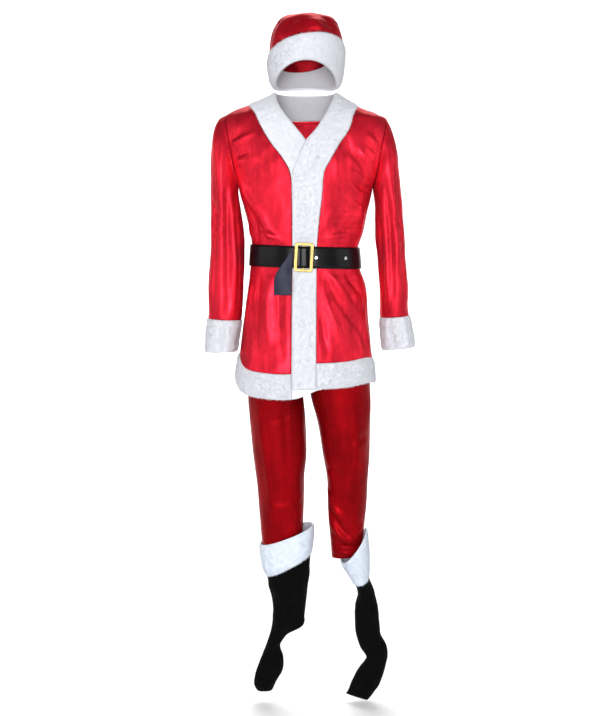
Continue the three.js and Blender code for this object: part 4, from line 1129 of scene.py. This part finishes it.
def crown_surface(turn, v):
    """The crown's superellipse rings, tilted by their roll and pitch about their middles. Its
    first row is drawn to the band's top edge."""
    turn, v = np.broadcast_arrays(np.asarray(turn, float), np.asarray(v, float))
    row = CROWN(v)
    c, s = (signed_power(value, 2 / BODY_POWER) for value in around(turn))
    x, y = row["width"] * c, -row["depth"] * s
    roll, pitch = np.radians(row["roll"]), np.radians(row["pitch"])
    z = x * np.sin(roll)
    x = x * np.cos(roll)
    y, z = y * np.cos(pitch) + z * np.sin(pitch), z * np.cos(pitch) - y * np.sin(pitch)
    ring_point = xyz(x + row["x"], y + row["y"], z + row["z"])
    edge = hat_band_surface(turn, 0 * v) + np.array([0, 0, 2 * SEAM_GAP])
    return lerp(edge, ring_point, smooth(v, 0, 1)[..., None])


crown_surface.step = -0.02


def hat(sizes, velvet, fur):
    """The slack cone and its fur band."""
    thick = sizes.cloth_wall / MM
    v, turn = np.meshgrid(np.linspace(0, CROWN_ROWS, 100), ring(90)[0, ::-1], indexing="ij")
    points = crown_surface(turn, v)
    relief = creases(points, crown_surface, CROWN_CREASES)
    relief += swell(points, 401, (50, 50, 50), 1.1) + swell(points, 402, (22, 22, 22), 0.35)
    relief *= smooth(v, 0, 0.5) * (1 - 0.7 * smooth(v, 8.5, 10))
    tip = np.array(CROWN_TIP)
    crown = wall(
        "hat_crown_cloth", moved_out(crown_surface, turn, v, relief),
        moved_out(crown_surface, turn, v, relief - thick), velvet, "hat_crown",
        tube=True, tip=(tip, tip + np.array([0, 0, thick])),
    )
    turn, share = np.broadcast_arrays(ring(110), np.linspace(0.004, 0.97, 26)[:, None])
    rolled = HAT_ROLL * share**2

    def at(off):
        return moved_out(hat_band_surface, turn, share, off)

    band = fur_trim(
        "hat_band", at, turn.shape, rounded(*turn.shape, top=0.25, bottom=0.3), fur,
        19000, 411, (0, 0, -0.6), tube=True, reach=FUR_REACH + 2.5, back=CLOTH + rolled,
        length=sizes.pile_length / MM,
    )
    return {"hat_crown": crown, "hat_band": band}


# ---------------------------------------------------------------- materials
def node_tree(name):
    """A new material with nodes: the material, its tree and its Principled shader."""
    material = bpy.data.materials.new(name)
    material.use_nodes = True
    tree = material.node_tree
    return material, tree, tree.nodes["Principled BSDF"]


def group(name, inputs, outputs):
    """An empty shader node group with named inputs (name, type, default) and outputs."""
    tree = bpy.data.node_groups.new(name, "ShaderNodeTree")
    for label, kind, default in inputs:
        socket = tree.interface.new_socket(label, in_out="INPUT", socket_type=kind)
        socket.default_value = default
    for label, kind in outputs:
        tree.interface.new_socket(label, in_out="OUTPUT", socket_type=kind)
    return tree, tree.nodes.new("NodeGroupInput"), tree.nodes.new("NodeGroupOutput")


def nap_group():
    """Crushed nap: broad patches where the pile lies another way, streaks along the cloth and
    fine pile, as a colour between two tones, a roughness and a height."""
    tree, into, out = group(
        "Crushed nap",
        [("Vector", "NodeSocketVector", (0, 0, 0)), ("Light", "NodeSocketColor", (1, 0, 0, 1)),
         ("Dark", "NodeSocketColor", (0.5, 0, 0, 1)), ("Patch size", "NodeSocketFloat", 14),
         ("Contrast", "NodeSocketFloat", 0.5)],
        [("Color", "NodeSocketColor"), ("Roughness", "NodeSocketFloat"),
         ("Height", "NodeSocketFloat")],
    )
    add, link = tree.nodes.new, tree.links.new
    stretch = add("ShaderNodeVectorMath")
    stretch.operation = "MULTIPLY"
    stretch.inputs[1].default_value = (1, 1, 0.45)
    link(into.outputs["Vector"], stretch.inputs[0])
    patches = add("ShaderNodeTexNoise")
    patches.inputs["Detail"].default_value = 5
    patches.inputs["Roughness"].default_value = 0.62
    link(stretch.outputs[0], patches.inputs["Vector"])
    link(into.outputs["Patch size"], patches.inputs["Scale"])
    streaks = add("ShaderNodeTexNoise")
    streaks.inputs["Scale"].default_value = 150
    streaks.inputs["Detail"].default_value = 3
    link(stretch.outputs[0], streaks.inputs["Vector"])
    fine = add("ShaderNodeTexNoise")
    fine.inputs["Scale"].default_value = 1300
    link(into.outputs["Vector"], fine.inputs["Vector"])
    mixed = add("ShaderNodeMath")
    mixed.operation = "MULTIPLY_ADD"
    mixed.inputs[1].default_value = 0.3
    link(streaks.outputs["Fac"], mixed.inputs[0])
    link(patches.outputs["Fac"], mixed.inputs[2])
    centred = add("ShaderNodeMath")
    centred.operation = "SUBTRACT"
    centred.inputs[1].default_value = 0.65
    link(mixed.outputs[0], centred.inputs[0])
    scaled = add("ShaderNodeMath")
    scaled.operation = "MULTIPLY_ADD"
    scaled.use_clamp = True
    scaled.inputs[2].default_value = 0.5
    gain = add("ShaderNodeMath")
    gain.operation = "MULTIPLY"
    gain.inputs[1].default_value = 5
    link(into.outputs["Contrast"], gain.inputs[0])
    link(centred.outputs[0], scaled.inputs[0])
    link(gain.outputs[0], scaled.inputs[1])
    tones = add("ShaderNodeMix")
    tones.data_type = "RGBA"
    link(scaled.outputs[0], tones.inputs[0])
    link(into.outputs["Dark"], tones.inputs[6])
    link(into.outputs["Light"], tones.inputs[7])
    link(tones.outputs[2], out.inputs["Color"])
    rough = add("ShaderNodeMapRange")
    rough.inputs["To Min"].default_value = 0.52
    rough.inputs["To Max"].default_value = 0.34
    link(scaled.outputs[0], rough.inputs["Value"])
    link(rough.outputs[0], out.inputs["Roughness"])
    height = add("ShaderNodeMath")
    height.operation = "MULTIPLY_ADD"
    height.inputs[1].default_value = 0.35
    link(fine.outputs["Fac"], height.inputs[0])
    link(streaks.outputs["Fac"], height.inputs[2])
    link(height.outputs[0], out.inputs["Height"])
    return tree


def place_group(tree, shared, name):
    """A group node fed with the object's own coordinates."""
    placed = tree.nodes.new("ShaderNodeGroup")
    placed.node_tree = shared
    placed.name = name
    where = tree.nodes.new("ShaderNodeTexCoord")
    tree.links.new(where.outputs["Object"], placed.inputs["Vector"])
    return placed


def bump(tree, shader, height, strength, distance):
    """A Bump node between a height and a shader's normal."""
    node = tree.nodes.new("ShaderNodeBump")
    node.inputs["Strength"].default_value = strength
    node.inputs["Distance"].default_value = distance
    tree.links.new(height, node.inputs["Height"])
    tree.links.new(node.outputs["Normal"], shader.inputs["Normal"])


def painted_upward_shade(tree, dye, dark, share):
    """Painted shade: the dye darkened where the cloth faces up, by up to the given share."""
    facing = tree.nodes.new("ShaderNodeNewGeometry")
    split = tree.nodes.new("ShaderNodeSeparateXYZ")
    upward = tree.nodes.new("ShaderNodeMapRange")
    upward.inputs["From Min"].default_value = 0.05
    upward.inputs["From Max"].default_value = 0.7
    upward.inputs["To Max"].default_value = share
    tones = tree.nodes.new("ShaderNodeMix")
    tones.data_type = "RGBA"
    # The colour of the painted shade: the nap's dark tone, darker still.
    tones.inputs[7].default_value = (dark[0] * 0.55, dark[1] * 0.1, dark[2] * 0.3, 1)
    tree.links.new(facing.outputs["Normal"], split.inputs[0])
    tree.links.new(split.outputs["Z"], upward.inputs["Value"])
    tree.links.new(upward.outputs[0], tones.inputs[0])
    tree.links.new(dye, tones.inputs[6])
    return tones.outputs[2]


def velvet_material(name, shared, light, dark, patch, contrast, gloss, sheen, edge=0.3,
                    painted_shade=0.0):
    """Panne velvet: a soft broad gloss tinted by the dye, and a sheen where it turns away."""
    material, tree, shader = node_tree(name)
    nap = place_group(tree, shared, "nap")
    nap.inputs["Light"].default_value = (*light, 1)
    nap.inputs["Dark"].default_value = (*dark, 1)
    nap.inputs["Patch size"].default_value = patch
    nap.inputs["Contrast"].default_value = contrast
    # Where the cloth faces up, the base colour is darkened as painted shade.
    dye = painted_upward_shade(tree, nap.outputs["Color"], dark, painted_shade) if painted_shade else nap.outputs["Color"]
    tree.links.new(dye, shader.inputs["Base Color"])
    tree.links.new(nap.outputs["Roughness"], shader.inputs["Roughness"])
    bump(tree, shader, nap.outputs["Height"], 0.35, 0.0006)
    shader.inputs["Metallic"].default_value = gloss
    shader.inputs["Specular IOR Level"].default_value = edge
    shader.inputs["Specular Tint"].default_value = (1.0, 0.22, 0.3, 1)
    shader.inputs["Sheen Weight"].default_value = sheen
    shader.inputs["Sheen Roughness"].default_value = 0.45
    shader.inputs["Sheen Tint"].default_value = (0.9, 0.05, 0.1, 1)
    return material


def fibre_group():
    """Uneven fibre: a soft mottling between two tones over tufts, and a fine height."""
    tree, into, out = group(
        "Uneven fibre",
        [("Vector", "NodeSocketVector", (0, 0, 0)), ("Light", "NodeSocketColor", (1, 1, 1, 1)),
         ("Dark", "NodeSocketColor", (0.8, 0.8, 0.8, 1)), ("Scale", "NodeSocketFloat", 60)],
        [("Color", "NodeSocketColor"), ("Height", "NodeSocketFloat")],
    )
    add, link = tree.nodes.new, tree.links.new
    tufts = add("ShaderNodeTexNoise")
    tufts.inputs["Detail"].default_value = 4
    link(into.outputs["Vector"], tufts.inputs["Vector"])
    link(into.outputs["Scale"], tufts.inputs["Scale"])
    tones = add("ShaderNodeMix")
    tones.data_type = "RGBA"
    spread_out = add("ShaderNodeMapRange")
    spread_out.inputs["From Min"].default_value = 0.3
    spread_out.inputs["From Max"].default_value = 0.62
    link(tufts.outputs["Fac"], spread_out.inputs["Value"])
    link(spread_out.outputs[0], tones.inputs[0])
    link(into.outputs["Dark"], tones.inputs[6])
    link(into.outputs["Light"], tones.inputs[7])
    link(tones.outputs[2], out.inputs["Color"])
    fine = add("ShaderNodeTexNoise")
    fine.inputs["Scale"].default_value = 700
    link(into.outputs["Vector"], fine.inputs["Vector"])
    link(fine.outputs["Fac"], out.inputs["Height"])
    return tree


def fibre_material(name, shared, light, dark, scale, sheen, sheen_tint, rough=0.9, gloss=0.2):
    """Fur or matt cloth of one dye with uneven fibres."""
    material, tree, shader = node_tree(name)
    fibre = place_group(tree, shared, "fibre")
    fibre.inputs["Light"].default_value = (*light, 1)
    fibre.inputs["Dark"].default_value = (*dark, 1)
    fibre.inputs["Scale"].default_value = scale
    tree.links.new(fibre.outputs["Color"], shader.inputs["Base Color"])
    bump(tree, shader, fibre.outputs["Height"], 0.3, 0.0005)
    shader.inputs["Roughness"].default_value = rough
    shader.inputs["Specular IOR Level"].default_value = gloss
    shader.inputs["Sheen Weight"].default_value = sheen
    shader.inputs["Sheen Tint"].default_value = (*sheen_tint, 1)
    return material


def hard_material(name, shared, light, dark, scale, rough, metallic=0.0, gloss=0.5):
    """Glossy vinyl or metal, mottled with handling."""
    material, tree, shader = node_tree(name)
    fibre = place_group(tree, shared, "wear")
    fibre.inputs["Light"].default_value = (*light, 1)
    fibre.inputs["Dark"].default_value = (*dark, 1)
    fibre.inputs["Scale"].default_value = scale
    tree.links.new(fibre.outputs["Color"], shader.inputs["Base Color"])
    bump(tree, shader, fibre.outputs["Height"], 0.12, 0.0003)
    shader.inputs["Roughness"].default_value = rough
    shader.inputs["Metallic"].default_value = metallic
    shader.inputs["Specular IOR Level"].default_value = gloss
    return material


_made = {}


def finish_of(kind):
    """The suit's materials, each made once."""
    if _made:
        return _made[kind]
    colours = bpy.context.scene.santa_colours
    nap, fibre = nap_group(), fibre_group()

    def darker(colour, share):
        return tuple(c * share for c in colour)

    velvet = tuple(colours.velvet)
    white = tuple(colours.fur)
    _made.update({
        # The jacket's velvet, darkened as painted shade where it faces up.
        "jacket": velvet_material("Jacket velvet with painted shade", nap, velvet, darker(velvet, 0.45), 16, 0.48,
                                  0.55, 0.08, painted_shade=0.85),
        # The trousers' velvet is the jacket's red in a darker copy: painted shade, as the trousers are less
        # lit.
        "trousers": velvet_material("Trouser velvet with painted shade", nap, tuple(colours.trouser_velvet_with_painted_shade),
                                    darker(colours.trouser_velvet_with_painted_shade, 0.5), 14, 0.5, 0.35, 0.03, 0.12),
        # The hat's velvet is the jacket's red in a darker copy: painted shade of its up-turned crown.
        "hat": velvet_material("Hat velvet with painted shade", nap, tuple(colours.hat_velvet_with_painted_shade),
                               darker(colours.hat_velvet_with_painted_shade, 0.5), 20, 0.5, 0.5, 0.05),
        "fur": fibre_material("White fur", fibre, white, darker(white, 0.97), 70, 0.4, (1, 1, 1)),
        "boot_fur": fibre_material("Boot fur", fibre, tuple(colours.boot_fur),
                                   darker(colours.boot_fur, 0.92), 60, 0.3, (0.9, 0.95, 1)),
        "boots": fibre_material("Boot cloth", fibre, tuple(colours.boot), darker(colours.boot, 0.6),
                                30, 0.0, (0.5, 0.5, 0.5), 0.8, 0.05),
        "belt": hard_material("Belt vinyl", fibre, tuple(colours.belt), darker(colours.belt, 0.6),
                              40, 0.3, 0.0, 0.14),
        "belt_reverse": hard_material("Belt reverse", fibre, tuple(colours.belt_reverse),
                                      darker(colours.belt_reverse, 0.6), 60, 0.5, 0.0, 0.2),
        "brass": hard_material("Brass", fibre, tuple(colours.brass), darker(colours.brass, 0.7),
                               120, 0.42, 1.0),
        "steel": hard_material("Eyelet metal", fibre, (0.75, 0.77, 0.8), (0.5, 0.52, 0.55),
                               200, 0.25, 1.0),
    })
    return _made[kind]


def declare(made):
    """Goes through each piece and the pile on it, and keeps nothing of them."""
    for node, piece in made.items():
        piece, *on_it = piece if isinstance(piece, tuple) else (piece,)
        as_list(on_it)


# ---------------------------------------------------------------- the add-on
class SantaSizes(PropertyGroup):
    """Sizes a maker would change."""
    cloth_wall: FloatProperty(name="Velvet wall", description="Thickness of the velvet",
                              default=CLOTH * MM, unit="LENGTH", subtype="DISTANCE")
    pile_length: FloatProperty(name="Pile length", description="Length of the fur's fibres",
                               default=0.0052, unit="LENGTH", subtype="DISTANCE")
    belt_height: FloatProperty(name="Belt height", description="Width of the belt's strap",
                               default=0.055, unit="LENGTH", subtype="DISTANCE")
    belt_thickness: FloatProperty(name="Belt thickness", description="Thickness of the strap",
                                  default=0.0022, unit="LENGTH", subtype="DISTANCE")


def colour(name, description, default):
    return FloatVectorProperty(name=name, description=description, default=default,
                               size=3, min=0, max=1, subtype="COLOR")


class SantaColours(PropertyGroup):
    """Colours of the cloths, fur and metal."""
    velvet: colour("Velvet", "Dye of the jacket", (0.86, 0.020, 0.045))
    # The trousers' colour: the velvet's red, darkened as painted shade.
    trouser_velvet_with_painted_shade: colour("Trouser velvet with painted shade", "Dye of the trousers", (0.28, 0.0015, 0.004))
    # The hat's colour: the velvet's red, darkened as painted shade.
    hat_velvet_with_painted_shade: colour("Hat velvet with painted shade", "Dye of the hat's crown", (0.40, 0.005, 0.012))
    fur: colour("Fur", "White of the trim", (0.69, 0.70, 0.75))
    boot_fur: colour("Boot fur", "Greyed white of the boot covers' cuffs", (0.72, 0.78, 0.87))
    boot: colour("Boot cloth", "Black of the boot covers", (0.0018, 0.0018, 0.0018))
    belt: colour("Belt", "Black of the belt", (0.004, 0.004, 0.005))
    belt_reverse: colour("Belt reverse", "The belt's reverse", (0.022, 0.024, 0.05))
    brass: colour("Brass", "Colour of the buckle", (0.30, 0.215, 0.075))


class SuitOperator:
    """What the suit's operators share: they run from the sidebar and can be undone."""
    bl_options = {"REGISTER", "UNDO"}

    def execute(self, context):
        """Builds the pieces."""
        declare(self.build(context.scene.santa_sizes))
        return {"FINISHED"}


class SANTA_OT_hat(SuitOperator, Operator):
    """Hat: velvet crown and fur band"""
    bl_idname = "santa.hat"
    bl_label = "Hat"

    def build(self, sizes):
        """The crown and its band."""
        return hat(sizes, finish_of("hat"), finish_of("fur"))


class SANTA_OT_jacket(SuitOperator, Operator):
    """Jacket: back and two fronts"""
    bl_idname = "santa.jacket"
    bl_label = "Jacket panels"

    def build(self, sizes):
        """The three velvet panels of the body."""
        return jacket_panels(sizes, finish_of("jacket"))


class SANTA_OT_jacket_fur(SuitOperator, Operator):
    """Fur of the jacket: front bands, collar and hem"""
    bl_idname = "santa.jacket_fur"
    bl_label = "Jacket fur"

    def build(self, sizes):
        """The fur sewn on the jacket's edges."""
        return jacket_fur(sizes, finish_of("fur"))


class SANTA_OT_sleeves(SuitOperator, Operator):
    """Sleeves and their fur cuffs"""
    bl_idname = "santa.sleeves"
    bl_label = "Sleeves"

    def build(self, sizes):
        """Both sleeves with their cuffs."""
        return sleeves(sizes, finish_of("jacket"), finish_of("fur"))


class SANTA_OT_belt(SuitOperator, Operator):
    """Belt: strap, folded end, buckle and eyelets"""
    bl_idname = "santa.belt"
    bl_label = "Belt"

    def build(self, sizes):
        """The strap and its end; the buckle and the eyelets get their metal."""
        return belt(sizes, finish_of("belt"), finish_of("belt_reverse"), finish_of("brass"),
                    finish_of("steel"))


class SANTA_OT_trousers(SuitOperator, Operator):
    """Trousers: four leg panels and the waistband"""
    bl_idname = "santa.trousers"
    bl_label = "Trousers"

    def build(self, sizes):
        """The legs and the waistband."""
        return trousers(sizes, finish_of("trousers"))


class SANTA_OT_boot_covers(SuitOperator, Operator):
    """Boot covers with their fur cuffs"""
    bl_idname = "santa.boot_covers"
    bl_label = "Boot covers"

    def build(self, sizes):
        """Both boot covers."""
        return boot_covers(sizes, finish_of("boot_fur"), finish_of("boots"))


CAMERA_PLACE = (-0.0156, -2.8, -0.340)
CAMERA_TILT = math.atan(0.318 / 2.8)
CAMERA_LENS = 54.49
SENSOR = 36.0


def soft_light(name, place, target, size, watts):
    """A square area light at a place, turned to a target."""
    data = bpy.data.lights.new(name, "AREA")
    data.size = size
    data.energy = watts
    light = bpy.data.objects.new(name, data)
    light.location = place
    way = np.array(target) - np.array(place)
    pitch = math.atan2(math.hypot(way[0], way[1]), -way[2])
    light.rotation_euler = (pitch, 0, math.atan2(way[0], -way[1]) + math.pi)
    bpy.context.scene.collection.objects.link(light)


def sweep_floor():
    """A pale floor that curves up behind the suit: a profile along Y, carried across X."""
    floor_z = CAD_BOX[0].z / MM - 4
    radius, back, front, height, half = 1500.0, 3200.0, 5000.0, 5200.0, 6500.0
    angle = np.radians(np.linspace(0, 90, 25))
    y = np.concatenate([[-front], back + radius * np.sin(angle), [back + radius]])
    z = np.concatenate([[0], radius * (1 - np.cos(angle)), [height]]) + floor_z
    x = np.linspace(-half, half, 3)
    points = xyz(x[None, :], y[:, None], z[:, None])
    rows, columns = points.shape[:2]
    j, i = np.meshgrid(np.arange(rows - 1), np.arange(columns - 1), indexing="ij")
    low = (j * columns + i).ravel()
    faces = np.stack([low, low + 1, low + columns + 1, low + columns], -1)
    mesh = bpy.data.meshes.new("floor")
    mesh.from_pydata((points.reshape(-1, 3) * MM).tolist(), [], faces.tolist())
    mesh.polygons.foreach_set("use_smooth", [True] * len(mesh.polygons))
    material, _, shader = node_tree("Pale floor")
    shader.inputs["Base Color"].default_value = (0.9, 0.9, 0.9, 1)
    shader.inputs["Roughness"].default_value = 0.9
    shader.inputs["Specular IOR Level"].default_value = 0.1
    mesh.materials.append(material)
    floor = bpy.data.objects.new("floor", mesh)
    bpy.context.scene.collection.objects.link(floor)


def studio_world(strength):
    """White all round: it lights the suit with the given strength and looks full white itself."""
    world = bpy.data.worlds.new("Studio")
    world.use_nodes = True
    tree = world.node_tree
    sky = tree.nodes["Background"]
    sky.inputs["Color"].default_value = (1, 1, 1, 1)
    path = tree.nodes.new("ShaderNodeLightPath")
    seen = tree.nodes.new("ShaderNodeMapRange")
    seen.inputs["To Min"].default_value = strength
    seen.inputs["To Max"].default_value = 1.0
    tree.links.new(path.outputs["Is Camera Ray"], seen.inputs["Value"])
    tree.links.new(seen.outputs[0], sky.inputs["Strength"])
    return world


class SANTA_OT_stage(Operator):
    """Stage: floor, soft lights and camera"""
    bl_idname = "santa.stage"
    bl_label = "Stage"

    def execute(self, context):
        """A pale floor, a soft frontal light with two fills, and the camera."""
        scene = context.scene
        sweep_floor()
        aim = (0, 0, -0.62)
        soft_light("key", (-0.2, -4.6, -0.1), aim, 1.7, 165)
        soft_light("fill right", (-3.6, -1.2, 0.4), aim, 2.2, 26)
        soft_light("fill left", (3.6, -1.2, 0.4), aim, 2.2, 26)
        soft_light("back", (0, 2.4, 2.6), (0, 4.2, -0.4), 3.0, 230)
        scene.world = studio_world(0.4)
        data = bpy.data.cameras.new("camera")
        data.lens = CAMERA_LENS
        data.sensor_width = SENSOR
        camera = bpy.data.objects.new("camera", data)
        camera.location = CAMERA_PLACE
        camera.rotation_euler = (math.pi / 2 - CAMERA_TILT, 0, 0)
        scene.collection.objects.link(camera)
        scene.camera = camera
        scene.view_settings.view_transform = "Standard"
        return {"FINISHED"}


class SANTA_PT_suit(Panel):
    """Sidebar panel of the suit"""
    bl_label = "Santa suit"
    bl_space_type = "VIEW_3D"
    bl_region_type = "UI"
    bl_category = "Santa suit"

    def draw(self, context):
        """The sizes, the colours and one button for each step."""
        for settings in (context.scene.santa_sizes, context.scene.santa_colours):
            for name in settings.__annotations__:
                self.layout.prop(settings, name)
        for step in STEPS:
            self.layout.operator(step.bl_idname)


STEPS = [SANTA_OT_stage, SANTA_OT_hat, SANTA_OT_jacket, SANTA_OT_jacket_fur, SANTA_OT_sleeves,
         SANTA_OT_belt, SANTA_OT_trousers, SANTA_OT_boot_covers]
CLASSES = [SantaSizes, SantaColours, *STEPS, SANTA_PT_suit]


def register():
    for one in CLASSES:
        bpy.utils.register_class(one)
    bpy.types.Scene.santa_sizes = PointerProperty(type=SantaSizes)
    bpy.types.Scene.santa_colours = PointerProperty(type=SantaColours)


def unregister():
    del bpy.types.Scene.santa_sizes, bpy.types.Scene.santa_colours
    for one in reversed(CLASSES):
        bpy.utils.unregister_class(one)


def main():
    """Registers the add-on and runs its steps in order."""
    register()
    for step in STEPS:
        category, name = step.bl_idname.split(".")
        getattr(getattr(bpy.ops, category), name)()


if __name__ == "__main__":
    main()
